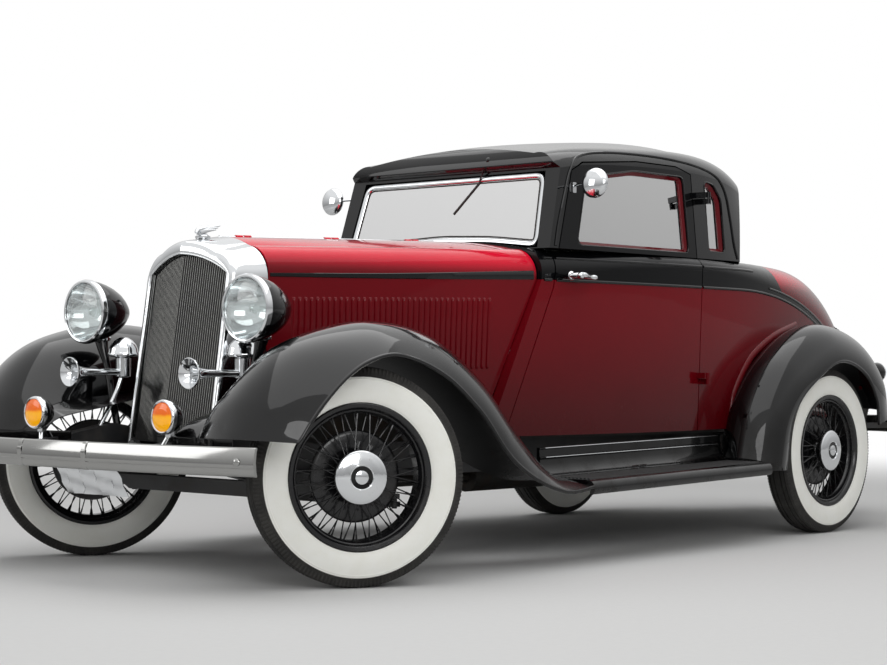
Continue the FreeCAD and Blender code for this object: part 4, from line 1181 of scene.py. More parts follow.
@dataclass
class Wings:
    """Front and rear fenders and the boards between them."""

    board_y: Pair = (-0.380, 0.812)
    board_rise: float = 0.024
    ribs: int = 9

    def valance(self) -> Form:
        """Left sheet that closes the gap from the fender's nose to the radiator's foot."""
        return Form().loft([
            [car(x, y, 0.4845), car(x, y + 0.002, 0.392), car(x, y + 0.005, 0.392),
             car(x, y + 0.003, 0.4845)]
            for x, y in eased(mm(225, -1868, 340, -1896, 455, -1903, 520, -1932, 585, -1947,
                                 660, -1938), 6)])

    def sill_lines(self) -> Form:
        """Two thin plated lines along the left board's apron, as painted highlights where its
        black beads catch the light.
        """
        skin, lines = Skin("running_boards"), Form()
        for drop in (0.0, 0.034):
            line = eased([(-0.350, 0.4100 - drop), (0.790, 0.4285 - drop)], 30)
            lines.tube(skin.lay(line, 0.0040)[0], 0.0020, 8)
        return lines

    def foot(self, fender: Fender) -> Form:
        """Skirt that closes a fender's front end down to the board."""
        rings = []
        for p in fender.section(fender.stations()[0], 0.0):
            low = Vector((p.x, p.y, min(p.z - 0.001, 0.288)))
            rings.append([p, low, low + BACK * 0.003, p + BACK * 0.003])
        return Form().loft(rings)

    def build(self) -> None:
        """Make the four fenders and both boards."""
        front, rear = Fender(FRONT_ROWS), Fender(REAR_ROWS)
        # Painted highlights: plated lines along the black sill beads.
        self.sill_lines().pair().piece("sill_lines", Shop.CHROME, crease=50)
        front_form = front.make().join(front.apron(7)).join(self.valance())
        for name, form in (("front", front_form), ("rear", rear.make().join(self.foot(rear)))):
            form.pair().fine(f"fenders_{name}", Shop.BLACK, crease=50, slot="black")
        self.board().pair().piece("fine_boards", Shop.BLACK, Shop.MAT,
                                  replaces="running_boards", crease=42, slot="black")

    def board(self) -> Form:
        """Left board: rolled edge, ribbed mat and stepped apron."""
        outline = mm(846, 254, 858, 253, 865, 260, 867, 272, 864, 288, 856, 298, 845, 303.5,
                     826, 304.5, 664, 305.5, 646, 309, 632, 318, 622, 332, 617, 350, 615.5, 368,
                     618, 371, 618, 376, 614, 379, 612.5, 404, 615, 407, 615, 411, 600, 412,
                     600, 318, 640, 284, 846, 280)
        low, high = self.board_y
        form = Form().loft([[car(x, low + (high - low) * i / 8, z + self.board_rise * i / 8)
                             for x, z in outline] for i in range(9)])
        for i in range(self.ribs):
            x = 0.676 + (0.816 - 0.676) * i / (self.ribs - 1)
            rib = mm(-5.2, 304.4, -3.8, 307.6, 3.8, 307.6, 5.2, 304.4)
            form.loft([[car(x + a, y, b + self.board_rise * share) for a, b in rib]
                       for y, share in ((low + 0.03, 0.025), (high - 0.03, 0.975))], 1)
        return form


# Front end


@dataclass
class Radiator:
    """Plated shell that tapers to a leaning, prowed mouth of fine upright bars.

    face is the (y, z) of the front's middle line; foot, waist and the mouth's points are
    (x, z) of the left half.
    """

    lean: float = 68.0 / 459.0
    prow: float = 0.23
    face: Pair = (-1.658, 0.574)
    foot: Pair = (0.222, 0.420)
    waist: float = 1.000
    back_y: float = -1.407
    nose_y: float = -1.720
    mouth_foot: Pair = (0.206, 0.446)
    mouth_corner: Pair = (0.198, 1.022)
    mouth_mid: Pair = (0.118, 1.066)
    mouth_peak: Pair = (0.0, 1.091)
    bars: int = 45
    pitch: float = 0.0088
    set_back: float = 0.0185
    ties: Sequence[float] = (0.560, 0.700, 0.840, 0.980)
    side_steps: int = 12
    crown_steps: int = 20

    def face_y(self, x: float, z: float) -> float:
        """Y of the leaning, prowed front at a point."""
        return self.face[0] + abs(x) * self.prow + (z - self.face[1]) * self.lean

    def upright(self, low: Pair, high: Pair) -> list[Pair]:
        """Straight side without its upper end."""
        return [(low[0] + (high[0] - low[0]) * i / self.side_steps,
                 low[1] + (high[1] - low[1]) * i / self.side_steps)
                for i in range(self.side_steps)]

    def section(self, side: float, shoulder: Pair, corner: Pair, top: float) -> list[Pair]:
        """Left half of the shell's section, from its foot to the crown."""
        waist = (side, self.waist)
        bend = arc_of(waist, shoulder, corner, 8)[:-1]
        steps = self.crown_steps - 8
        crown = arc_of(corner, (0.0, top), (-corner[0], corner[1]), steps * 2)[:steps + 1]
        return self.upright(self.foot, waist) + bend + crown

    def mouth(self) -> list[Pair]:
        """Left half of the mouth's edge, point for point beside the section."""
        return self.upright(self.mouth_foot, self.mouth_corner) + arc_of(
            self.mouth_corner, self.mouth_mid, self.mouth_peak, self.crown_steps)

    def mouth_top(self, x: float) -> float:
        """Height of the mouth's upper edge."""
        (cx, cz), radius = circle_through(self.mouth_corner, self.mouth_mid, self.mouth_peak)
        return cz + math.sqrt(radius ** 2 - (abs(x) - cx) ** 2)

    def shell(self) -> Form:
        """Sheet that rolls from the hood over the front edge into the mouth."""
        rings = []
        back = self.section(0.249, (0.224, 1.078), (0.150, 1.124), 1.158)
        nose = self.section(0.195, (0.183, 1.040), (0.140, 1.062), 1.112)
        reach = self.nose_y - self.back_y
        for (bx, bz), (nx, nz), (mx, mz) in zip(back, nose, self.mouth()):
            share = (self.face_y(bx, bz) - self.back_y) / (
                reach - self.prow * (nx - bx) - self.lean * (nz - bz))

            def at(part: float) -> Vector:
                """Point of the side wall that far forward."""
                t = share * part
                return Vector((bx + (nx - bx) * t, self.back_y + reach * t, bz + (nz - bz) * t))
            rim, lip = at(1.0), Vector((mx, self.face_y(mx, mz), mz))
            middle = (rim + lip) / 2
            path = [at(0.0), at(0.45), at(0.86), rim + (lip - rim) * 0.10 + Vector((0, 0.003, 0)),
                    middle - Vector((0, 0.003, 0)), lip + Vector((0, 0.001, 0)),
                    lip + Vector((0, 0.034, 0))]
            inner = at(0.0)
            inner.x, inner.z = inner.x * 0.96, inner.z - 0.006
            rings.append([car(*p) for p in eased(path, 4)] + [car(*inner)])
        return Form().loft(rings + [across(ring) for ring in reversed(rings[:-1])])

    def grille(self, repeats: Repeats) -> Form:
        """Upright bars with plated noses and dark flanks as painted shade between them, cut to the
        mouth, and their ties.
        """
        nose = mm(-0.9, -0.6, -0.6, -2, 0.6, -2, 0.9, -0.6)
        blade = mm(-1.7, 0.4, -0.9, -1, 0.9, -1, 1.7, 0.4, 1.3, 11, -1.3, 11)
        low = self.mouth_foot[1] + 0.002
        lean = Matrix.Rotation(-math.atan(self.lean), 3, "X")
        spots = []
        for i in range(self.bars):
            x = (i - (self.bars - 1) / 2) * self.pitch
            tall = self.mouth_top(x) - 0.001 - low
            spots.append((car(x, self.face_y(x, low) + self.set_back, low), lean,
                          (1.0, 1.0, tall * math.hypot(1, self.lean))))
        form = Form()
        # Painted shade: the bars' flanks take the dark rubber finish instead of plating.
        for slot, (section, finish) in enumerate(((nose, Shop.GRILLE), (blade, Shop.MAT))):
            unit = Form().loft([[(x, y, z) for x, y in section] for z in (0.0, 1.0)])
            form.join(repeats.lay(unit, spots, finish, slot))
        for z in self.ties:
            path = [car(x, self.face_y(x, z) + self.set_back + 0.010, z)
                    for x in (-0.199, -0.1, 0, 0.1, 0.199)]
            form.tube(path, 0.0025, 6, 1)
        return form

    def build(self, repeats: Repeats) -> None:
        """Make the shell with its mouth bead and the hood's centre rod, and the grille."""
        half = [car(x, self.face_y(x, z) + 0.002, z) for x, z in self.mouth()]
        shell = self.shell().tube(half + across(reversed(half[:-1])), 0.0040, 8)
        shell.tube([car(0, -1.407, 1.1568), car(0, -0.2873, 1.1962)], 0.005, 10)
        shell.fine("radiator_shell", Shop.CHROME, crease=48, slot="chrome")
        self.grille(repeats).fine("grille", Shop.GRILLE, Shop.MAT, crease=40, slot="chrome")


@dataclass
class Lamps:
    """Headlamps on dark posts, trumpet horns with domed motors and fog lamps."""

    lamp: Triple = (0.418, -1.660, 0.895)
    horn: Triple = (0.310, -1.812, 0.683)
    can: Triple = (0.310, -1.575, 0.664)
    fog: Triple = (0.334, -1.936, 0.545)

    def headlamp(self) -> tuple[Form, Form]:
        """Left lamp with its post, and its lens."""
        shell = mm(0, 104, -8, 109.5, -20, 110, -40, 107, -66, 100.5, -95, 89.5, -125, 73.5,
                   -150, 54.5, -172, 33, -186, 15, -190, 0)
        rim = mm(-12, 110.5, -10, 113.5, 0, 113.7, 8, 111.5, 11.5, 106.5, 10, 102, 4, 100,
                 0, 102, -12, 110.5)
        bowl = mm(2, 100.5, -20, 93, -45, 78, -66, 58, -80, 35, -86, 0)
        bulb = mm(-80, 10, -52, 11, -46, 16, -36, 17, -26, 12, -22, 0)
        lens = mm(3.5, 100.8, 7.5, 95, 12.5, 78, 16.5, 52, 18.5, 26, 19, 0, 16, 0, 13, 50, 4, 94,
                  0.5, 100, 3.5, 100.8)
        place = turn_to(car(*self.lamp), AHEAD)
        made = (Form().turned(shell, 72, place).turned(rim, 96, place, 1)
                .turned(bowl, 72, place, 1).turned(bulb, 32, place, 2))
        x, y, z = self.lamp
        post = run(6, (x, y + 0.070, z - 0.088), (x - 0.014, y + 0.070, z - 0.135),
                   (0.380, y + 0.070, 0.700), (0.345, y + 0.065, 0.592),
                   (0.304, y + 0.060, 0.478))
        made.tube(post, [0.026 - 0.013 * min(1.0, i / 10) for i in range(len(post))], 20)
        collar = mm(-10, 20, -4, 33, 4, 35, 12, 31, 16, 20)
        made.turned(collar, 40, turn_to(post[1], UP), 1)
        return made, Form().turned(lens, 96, place)

    def trumpet(self) -> Form:
        """Left horn: flared bell, slim tube, motor with a rimmed dome, and stay."""
        flare = mm(0, 49, -2, 51.2, -5, 51.2, -10, 44, -18, 34, -32, 24.5, -52, 18, -80, 14,
                   -120, 11.8, -238, 11.2)
        throat = mm(0, 49, -6, 41.5, -16, 30, -32, 20, -60, 11, -75, 0)
        place = turn_to(car(*self.horn), AHEAD)
        made = Form().turned(flare, 64, place).turned(throat, 64, place)
        motor = mm(0, 0, 0, 22, 4, 26.8, 68, 26.8, 72, 31, 74, 53, 77, 55.6, 82, 56, 86, 54.6,
                   89, 53, 102, 50.5, 116, 44, 130, 32, 140, 17, 143, 0)
        made.turned(motor, 64, turn_to(car(*self.can), UP))
        x, y, z = self.can
        stay = run(6, (x, y - 0.004, z + 0.012), (x, y - 0.030, z - 0.050),
                   (0.306, -1.690, 0.476))
        return made.tube(stay, 0.0080, 14)

    def foglamp(self) -> tuple[Form, Form]:
        """Left fog lamp with its stem, and its lens."""
        shell = mm(0, 50, -10, 53, -22, 52, -40, 45, -58, 32, -72, 15, -78, 0)
        rim = mm(-14, 53, -12, 56, 0, 56, 6, 53, 7.5, 50, 5, 46.5, 0, 48, -14, 53)
        bowl = mm(0, 47.5, -12, 43, -26, 30, -34, 0)
        x, y, z = self.fog
        place = turn_to(car(x, y, z), AHEAD)
        made = (Form().turned(shell, 56, place).turned(rim, 72, place, 1)
                .turned(bowl, 48, place, 1))
        stem = run(5, (x, y + 0.030, z - 0.045), (x - 0.003, y + 0.027, z - 0.060),
                   (0.312, y + 0.011, 0.440))
        made.tube(stem, 0.0085, 14, 1)
        nut = mm(-10, 0, -10, 16.5, 10, 16.5, 10, 0)
        made.turned(nut, 6, turn_to(stem[3], UP), 1)
        lens = mm(2, 48, 6, 42, 9.5, 25, 10.5, 0, 7.5, 0, 3, 38, -1, 47, 2, 48)
        return made, Form().turned(lens, 64, place)

    def build(self) -> None:
        """Make the pairs."""
        lamp, lens = self.headlamp()
        lamp.pair().fine("headlamps", Shop.BLACK, Shop.CHROME, Shop.CLEAR_LENS, crease=38,
                         slot="black")
        lens.pair().piece("fine_lenses", Shop.FLUTED, replaces="headlamp_lenses", crease=50,
                          slot="glass")
        self.trumpet().pair().fine("horns", Shop.CHROME, crease=42, slot="chrome")
        fog, amber = self.foglamp()
        fog.pair().fine("fog_lamps", Shop.BLACK, Shop.CHROME, crease=38, slot="chrome")
        amber.pair().piece("fog_lenses", Shop.AMBER_LENS, crease=50)


@dataclass
class Bumper:
    """Ribbed plated bar on a wide arc, with clamps and end bolts."""

    name: str
    middle_y: float
    end_y: float
    half: float
    z: float
    height: float
    facing: int
    clamp: float

    def arc(self, steps: int) -> tuple[list[Vector], list[Vector]]:
        """Points and outward directions along the bar."""
        sag = abs(self.end_y - self.middle_y)
        radius = (self.half ** 2 + sag ** 2) / (2 * sag)
        sweep = math.asin(self.half / radius)
        centre = self.middle_y - self.facing * radius
        points, outs = [], []
        for i in range(steps + 1):
            t = -sweep + 2 * sweep * i / steps
            out = Vector((math.sin(t), self.facing * math.cos(t), 0))
            depth = radius - 0.016
            points.append(car(out.x * depth, centre + out.y * depth, self.z))
            outs.append(out)
        return points, outs

    def profile(self) -> list[Pair]:
        """Section of the bar: rolled edges and a raised middle rib."""
        h = self.height
        front = [(-h, -0.004), (-h, 0.001), (-h * 0.92, 0.0055), (-h * 0.62, 0.0102),
                 (-h * 0.25, 0.0136), (h * 0.10, 0.0156), (h * 0.30, 0.0158), (h * 0.38, 0.0150),
                 (h * 0.44, 0.0122), (h * 0.52, 0.0114), (h * 0.72, 0.0102), (h * 0.88, 0.0072),
                 (h * 0.96, 0.0040), (h, 0.0), (h, -0.004)]
        back = [(h * 0.92, -0.006), (h * 0.7, -0.002), (0.0, 0.002), (-h * 0.7, -0.002),
                (-h * 0.92, -0.006)]
        return front + back

    def make(self) -> Form:
        """Bar, clamps and bolts."""
        path, outs = self.arc(56)
        profile = self.profile()
        form = Form().sweep(path, profile, outs)
        path, outs = self.arc(340)
        band = mm(-11, 0, -8, 2.8, 8, 2.8, 11, 0)
        for x in (self.clamp, -self.clamp):
            index = min(range(len(path)), key=lambda i: abs(path[i].x - x))
            out, along = outs[index], UP.cross(outs[index])
            form.loft([[path[index] + along * a + UP * (h * 1.02) + out * (d + b)
                        for h, d in profile[:15]] for a, b in band], closed=False)
        bolt = mm(0, 0, 0, 12, 3, 11.8, 6.2, 8, 7.5, 0)
        for end, inner in ((4, 12), (-5, -13)):
            form.turned(bolt, 24, turn_to(path[inner] + outs[end] * 0.0155, outs[end]))
        return form

    def build(self, iron: Sequence[Triple]) -> None:
        """Make the bar with its iron on both sides."""
        form = self.make()
        path = [car(*p) for p in iron]
        for line in (path, across(path)):
            form.sweep(line, box(0.013, 0.004), Vector((1, 0, 0)), 1)
        form.fine(self.name, Shop.BUMPER, Shop.CHASSIS, crease=32, slot="chrome")


@dataclass
class Plate:
    """Blank plated tag under the bumper."""

    centre: Triple = (0.060, -2.030, 0.336)
    size: Pair = (0.310, 0.098)

    def build(self) -> None:
        """Bowed sheet on a bracket."""
        width, height = self.size
        x0, y0, z0 = self.centre

        def at(u: float, v: float) -> Vector:
            """Point of the crinkled sheet; u and v run from -1 to 1."""
            crinkle = (0.0075 * math.sin(u * 9.0 + v * 2.4) * math.cos(v * 3.1 - u * 4.0)
                       + 0.0040 * math.sin(u * 21.0 - v * 5.0))
            return car(x0 + u * width / 2, y0 + crinkle + 0.006 * u * u + 0.022 * (1 - v),
                       z0 + v * height / 2 * 0.96)
        rows = [[at(-1 + 2 * i / 24, -1 + 2 * j / 8) for j in range(9)] for i in range(25)]
        thin = [[p + BACK * 0.0016 for p in reversed(r)] for r in rows]
        form = Form().loft([r + t for r, t in zip(rows, thin)])
        for sign in (1, -1):
            form.tube([car(x0 + sign * 0.08, y0 + 0.012, z0 + height * 0.42),
                       car(x0 + sign * 0.08, y0 + 0.02, z0 + height * 0.7)], 0.006, 10)
        form.tube([car(x0 - 0.11, y0 + 0.020, z0 + height * 0.62),
                   car(x0 + 0.11, y0 + 0.020, z0 + height * 0.62)], 0.006, 10)
        form.piece("blank_tag", Shop.CHROME, crease=50)


# Body trim


@dataclass
class Hood:
    """Louvres and black belt strip of both hood halves."""

    louvres: int = 36
    first: Pair = (-1.305, 0.946)
    last: Pair = (-0.500, 0.963)
    length: float = 0.262
    strip: Sequence[Triple] = ((-1.396, 1.019, 0.0065), (-0.90, 1.030, 0.0100),
                               (-0.305, 1.052, 0.0165))

    def louvre(self) -> Form:
        """One pressed louvre: smooth front, open back, rounded ends."""
        shape = mm(-7, -1, -5, 3, -2, 6.2, 1.5, 7.4, 4.6, 7, 5.2, 5.6, 4.6, -1)
        ends = ((0.0, 0.02), (0.0015, 0.45), (0.005, 0.78), (0.010, 0.95), (0.016, 1.0))
        swell = [*ends, *((self.length - along, share) for along, share in reversed(ends))]
        return Form().loft([[(along, a * (0.55 + 0.45 * share), b * share) for a, b in shape]
                            for along, share in swell])

    def build(self, repeats: Repeats) -> None:
        """Lay the louvres and strips on the sheet."""
        skin = Skin("hood_left")
        spots = []
        for i in range(self.louvres):
            t = i / (self.louvres - 1)
            y = self.first[0] + (self.last[0] - self.first[0]) * t
            z = self.first[1] + (self.last[1] - self.first[1]) * t
            top, normal = skin.side(y, z)
            low, _ = skin.side(y, z - self.length)
            spots.append((top, facing(normal, low - top), (1.0, 1.0, 1.0)))
        rows = repeats.lay(self.louvre(), spots, Shop.MAROON)
        section = ((-1, -0.001), (-1, 0.0014), (-0.8, 0.0032), (0.8, 0.0032), (1, 0.0014),
                   (1, -0.001))
        strip = Form().loft([[skin.lay([(y, z + half * part)], lift)[0][0]
                              for part, lift in section]
                             for y, z, half in eased(self.strip, 16)], 1)
        for side in Side:
            Form().join(rows).join(strip).on(side).piece(
                f"louvres_{side.word}", Shop.MAROON, Shop.BLACK, body=f"hood_{side.word}",
                crease=40)


DOOR_WINDOW = mm(-102, 1172, -28, 1440, 270, 1484, 600, 1484, 612, 1172)
QUARTER_WINDOW = mm(752, 1186, 752, 1478, 820, 1470, 879, 1410, 879, 1186)
FLARE = mm(905, 520, 929, 607, 1043, 742, 1161, 807, 1281, 852, 1486, 899)
DRIP = mm(-228, 1165, -205, 1245, -158, 1370, -118, 1462, -66, 1510, 60, 1541, 300, 1556,
          560, 1553, 760, 1533, 870, 1500, 925, 1440, 945, 1340, 958, 1220, 975, 1166)


def inset(outline: Sequence[Pair], by: float) -> list[Pair]:
    """Closed outline moved inwards."""
    count = len(outline)
    area = sum(outline[i - 1][0] * outline[i][1] - outline[i][0] * outline[i - 1][1]
               for i in range(count))
    sign = 1 if area > 0 else -1
    moved = []
    for i in range(count):
        before, here, after = (Vector(outline[j % count]) for j in (i - 1, i, i + 1))
        ahead = (after - before).normalized()
        moved.append(tuple(here + Vector((-ahead.y, ahead.x)) * by * sign))
    return moved


@dataclass
class Cab:
    """Mouldings, window reveals, windshield, handles and mirrors.

    upper is the height of the window moulding over the colour line.
    """

    upper: float = 0.084

    def line(self, y: float) -> float:
        """Height of the colour line."""
        return BELT_Z - BELT_DROP * max(0.0, y - BELT_BEND_Y) ** 2

    def moulding(self, skin: Skin, spans: Sequence[Pair], height: float, width: float,
                 proud: float) -> Form:
        """Half-round strip along the body side."""
        form = Form()
        section = dome(width, proud) + [(-width, -0.002), (width, -0.002)]
        for start, end in spans:
            steps = max(4, int((end - start) / 0.03))
            ys = [start + (end - start) * i / steps for i in range(steps + 1)]
            path, normals = skin.lay([(y, self.line(y) + height) for y in ys])
            form.sweep(path, section, normals)
        return form

    def window(self, glass: str, outline: Sequence[Pair], radius: float) -> tuple[Form, Form]:
        """Bead round the opening and the coloured frame inside it."""
        edge = rounded(outline, radius, 6)
        inner = inset(edge, 0.0085)
        path, outs = Skin(glass).lay(inner)
        reveal = Form().sweep(path, mm(-8, -3, 8, -3, 8, 3.5, 5.5, 6, -5.5, 11, -8, 10),
                              outs, loop=True)
        lip = [p + n * 0.0185 + Vector((0, y - a, z - b))
               for p, n, (y, z), (a, b) in zip(path, outs, edge, inner)]
        return Form().tube(lip, 0.0036, 8, loop=True), reveal

    def handle(self) -> Form:
        """Scrolled lever on an oval rose."""
        y, z = -0.184, 1.052
        rose = mm(0, 19, 4, 18.5, 8, 15, 12, 11, 20, 9.5, 34, 10, 42, 12.5, 52, 12.5, 56, 9,
                  57.5, 0)
        skin = Skin("door_left")
        base = skin.side(y, z)[0].x
        form = Form().turned(rose, 32, Matrix.Translation(car(base - 0.002, y, z)))
        line = eased([skin.side(y + along, z + rise)[0] + Vector((out, 0, 0))
                      for along, rise, out in ((-0.014, 0.0, 0.048), (0.010, 0.002, 0.046),
                                               (0.040, -0.001, 0.038), (0.075, -0.004, 0.030),
                                               (0.100, -0.004, 0.030), (0.112, 0.001, 0.033))],
                     5)
        sizes = [0.0090 + 0.0030 * math.exp(-((i - 6) / 3) ** 2) + 0.0012 * math.sin(i * 0.8)
                 for i in range(len(line))]
        sizes[-1], sizes[0] = 0.004, 0.005
        return form.tube(line, sizes, 16)

    def mirror(self) -> tuple[Form, Form]:
        """Round mirror head with its clamp arm."""
        head = mm(-4, 56, 0, 57.2, 6, 56.8, 14, 52, 20, 40, 25, 22, 27.5, 0)
        face = mm(-4, 56, -2.5, 53, -2.2, 0)
        place = turn_to(car(0.690, -0.150, 1.398), Vector((0, -1, 0.08)))
        base = (0.552, -0.108, 1.392)
        arm = run(6, base, (0.590, -0.124, 1.402), (0.640, -0.150, 1.400), (0.690, -0.168, 1.398))
        form = Form().turned(head, 56, place).tube(arm, 0.0052, 12)
        form.loft([[car(*base) + Vector((d, a, b)) for a, b in rounded(box(0.011, 0.020), 0.005)]
                   for d in (-0.008, 0.008)])
        return form, Form().turned(face, 56, place)

    def shield(self) -> None:
        """Plated windshield frame with round corners, rubber strip and wiper."""
        slope = 0.28
        normal = Vector((0, -1, slope)).normalized()

        def at(x: float, z: float, out: float) -> Vector:
            """Point of the windshield's plane."""
            return car(x, -0.262 + (z - 1.150) * slope, z) + normal * out
        outer = rounded(mm(-499, 1161, -250, 1187, 0, 1197, 250, 1187, 499, 1161, 472, 1455,
                           -472, 1455), 0.052, 8)
        path = [at(x, z, -0.014) for x, z in inset(outer, 0.0120)]
        form = Form().sweep(path, mm(-11.5, -10, 11.5, -10, 11.8, 4, 8.5, 10.5, 2, 12.5, -6, 10.5,
                                     -11.5, 3), normal, loop=True)
        seal = Form().tube([at(x, z, -0.010) for x, z in inset(outer, 0.0262)], 0.0032, 8,
                           slot=1, loop=True)
        form.join(seal).fine("windshield_frame", Shop.CHROME, Shop.TREAD, crease=40,
                             slot="chrome")
        pivot = at(0.203, 1.504, 0.030)
        cap = mm(-30, 10, 6, 10, 10, 7, 12, 0)
        wiper = Form().turned(cap, 24, turn_to(pivot, normal))
        wiper.tube([pivot + Vector((-0.016, 0, -0.012)), pivot + Vector((0.034, 0, 0.006))],
                   0.0035, 8)
        arm = [pivot + normal * 0.008, at(0.176, 1.473, 0.018), at(0.146, 1.436, -0.002)]
        wiper.tube(eased(arm, 5), 0.0032, 8)
        blade = [at(0.158, 1.449, -0.0125), at(0.037, 1.310, -0.0125)]
        wiper.sweep(blade, mm(-4.5, 0, 4.5, 0, 3, 7, -3, 7), normal, 1)
        wiper.piece("wiper", Shop.BLACK, Shop.TREAD, crease=40)

    def build(self) -> None:
        """Lay all trim on both sides."""
        body, door = Skin("body"), Skin("door_left")
        fixed = self.moulding(body, [(-0.275, -0.236), (0.664, 2.300)], 0.0, 0.0060, 0.0052)
        fixed.join(self.moulding(body, [(1.20, 2.300)], 0.026, 0.0050, 0.0042))
        fixed.join(self.moulding(body, [(-0.262, -0.222), (0.664, 1.06)], self.upper, 0.0060,
                                 0.0050))
        moving = self.moulding(door, [(-0.212, 0.6500)], 0.0, 0.0060, 0.0052)
        moving.join(self.moulding(door, [(-0.2000, 0.6500)], self.upper, 0.0060, 0.0050))
        path, normals = body.lay(eased(FLARE, 8))
        flare = Form().sweep(path, dome(0.017, 0.011, 0.001), normals)
        flare.pair().piece("wheelhouse_flares", Shop.MAROON, crease=60)
        path, normals = Skin("roof").lay(eased(DRIP, 6))
        fixed.sweep(path, mm(-6, -2, 6, -2, 5.6, 3, 2, 6.2, -2, 6.2, -5.6, 3), normals)
        bead, reveal = self.window("window_glass", QUARTER_WINDOW, 0.022)
        fixed.join(bead)
        fixed.pair().piece("body_mouldings", Shop.BLACK, crease=40)
        reveal.pair().piece("quarter_reveals", Shop.REVEAL, crease=40)
        bead, reveal = self.window("door_glass_left", DOOR_WINDOW, 0.030)
        handle, (head, glass) = self.handle(), self.mirror()
        for side in Side:
            name = f"door_{side.word}"
            for form, part, finish, crease in (
                    (moving, "mouldings", Shop.BLACK, 40), (bead, "bead", Shop.BLACK, 35),
                    (reveal, "reveal", Shop.REVEAL, 40), (handle, "handle", Shop.CHROME, 50)):
                form.on(side).piece(f"{name}_{part}", finish, body=name, crease=crease)
            head.on(side).fine(f"mirror_{side.word}", Shop.CHROME, body=name, crease=35,
                               slot="chrome")
            glass.on(side).piece(f"mirror_face_{side.word}", Shop.MIRROR, body=name)
        self.shield()


@dataclass
class Mascot:
    """Generic winged radiator cap."""

    foot: Triple = (0.0, -1.482, 1.146)

    def feather(self, sign: int, layer: int) -> Form:
        """One of the three blades of a swept wing."""
        rings = []
        for t in (i / 8 for i in range(9)):
            x = sign * (0.004 + 0.018 * t + 0.003 * layer)
            y = -0.018 + 0.078 * t - 0.012 * layer * t
            z = 0.018 + 0.030 * t ** 0.8 - 0.008 * layer * t
            chord, width = 0.010 * (1 - 0.75 * t), 0.0022 * (1 - 0.6 * t)
            rings.append([car(*self.foot) + Vector((x + dx * width, y, z + dz * chord))
                          for dx, dz in ((0, 1), (1, 0.3), (0.8, -0.7), (-0.8, -0.7), (-1, 0.3))])
        return Form().loft(rings)

    def build(self) -> None:
        """Cap, stepped neck and two swept wings."""
        cap = mm(0, 0, 0, 25, 3, 26.2, 8, 26.2, 11, 23, 14, 16.5, 20, 14, 28, 12, 36, 11, 42, 6,
                 43, 0)
        form = Form().turned(cap, 48, turn_to(car(*self.foot), UP))
        for sign in (1, -1):
            for layer in range(3):
                form.join(self.feather(sign, layer))
        body = eased([car(*self.foot) + Vector((0, y, z)) for y, z in (
            (-0.033, 0.020), (-0.021, 0.029), (0.0, 0.034), (0.030, 0.038), (0.057, 0.047))], 4)
        form.tube(body, [0.003 + 0.009 * math.sin(math.pi * (i + 1) / 18) for i in range(17)], 14)
        form.fine("mascot", Shop.CHROME, crease=45, slot="chrome")


@dataclass
class Tail:
    """Tail lamps and deck handle."""

    lamp: Triple = (0.600, 2.150, 0.690)

    def build(self) -> None:
        """Make the rear trim."""
        shell = mm(0, 40, -4, 45, -16, 45.5, -36, 40, -56, 30, -74, 14, -80, 0)
        rim = mm(-4, 45.2, 0, 46.2, 6, 44, 8, 40.5, 4, 38.5, 0, 40)
        place = turn_to(car(*self.lamp), BACK)
        form = Form().turned(shell, 48, place).turned(rim, 56, place, 1)
        x, y, z = self.lamp
        form.tube(run(5, (x, y - 0.050, z - 0.030), (x, y - 0.090, z - 0.050),
                      (x, 1.998, 0.620)), 0.009, 14, 1)
        form.pair().fine("tail_lamps", Shop.BLACK, Shop.CHROME, crease=40, slot="chrome")
        lens = Form().turned(mm(2, 38.5, 6, 35, 10, 20, 11.5, 0, 4, 0, 1, 38), 48, place)
        lens.pair().piece("tail_lenses", Shop.RED_LENS, crease=50)
        spot, normal = Skin("deck_lid").top(0.0, 2.165)
        rose = mm(0, 16, 4, 15, 8, 9, 20, 8, 24, 0)
        handle = Form().turned(rose, 28, turn_to(spot - normal * 0.002, normal))
        bar = [spot + normal * 0.018 + Vector((dx, 0, 0)) for dx in (-0.045, -0.02, 0.02, 0.045)]
        handle.tube(bar, [0.005, 0.0075, 0.0075, 0.005], 14)
        handle.piece("deck_handle", Shop.CHROME, body="deck_lid", crease=50)


# Cabin


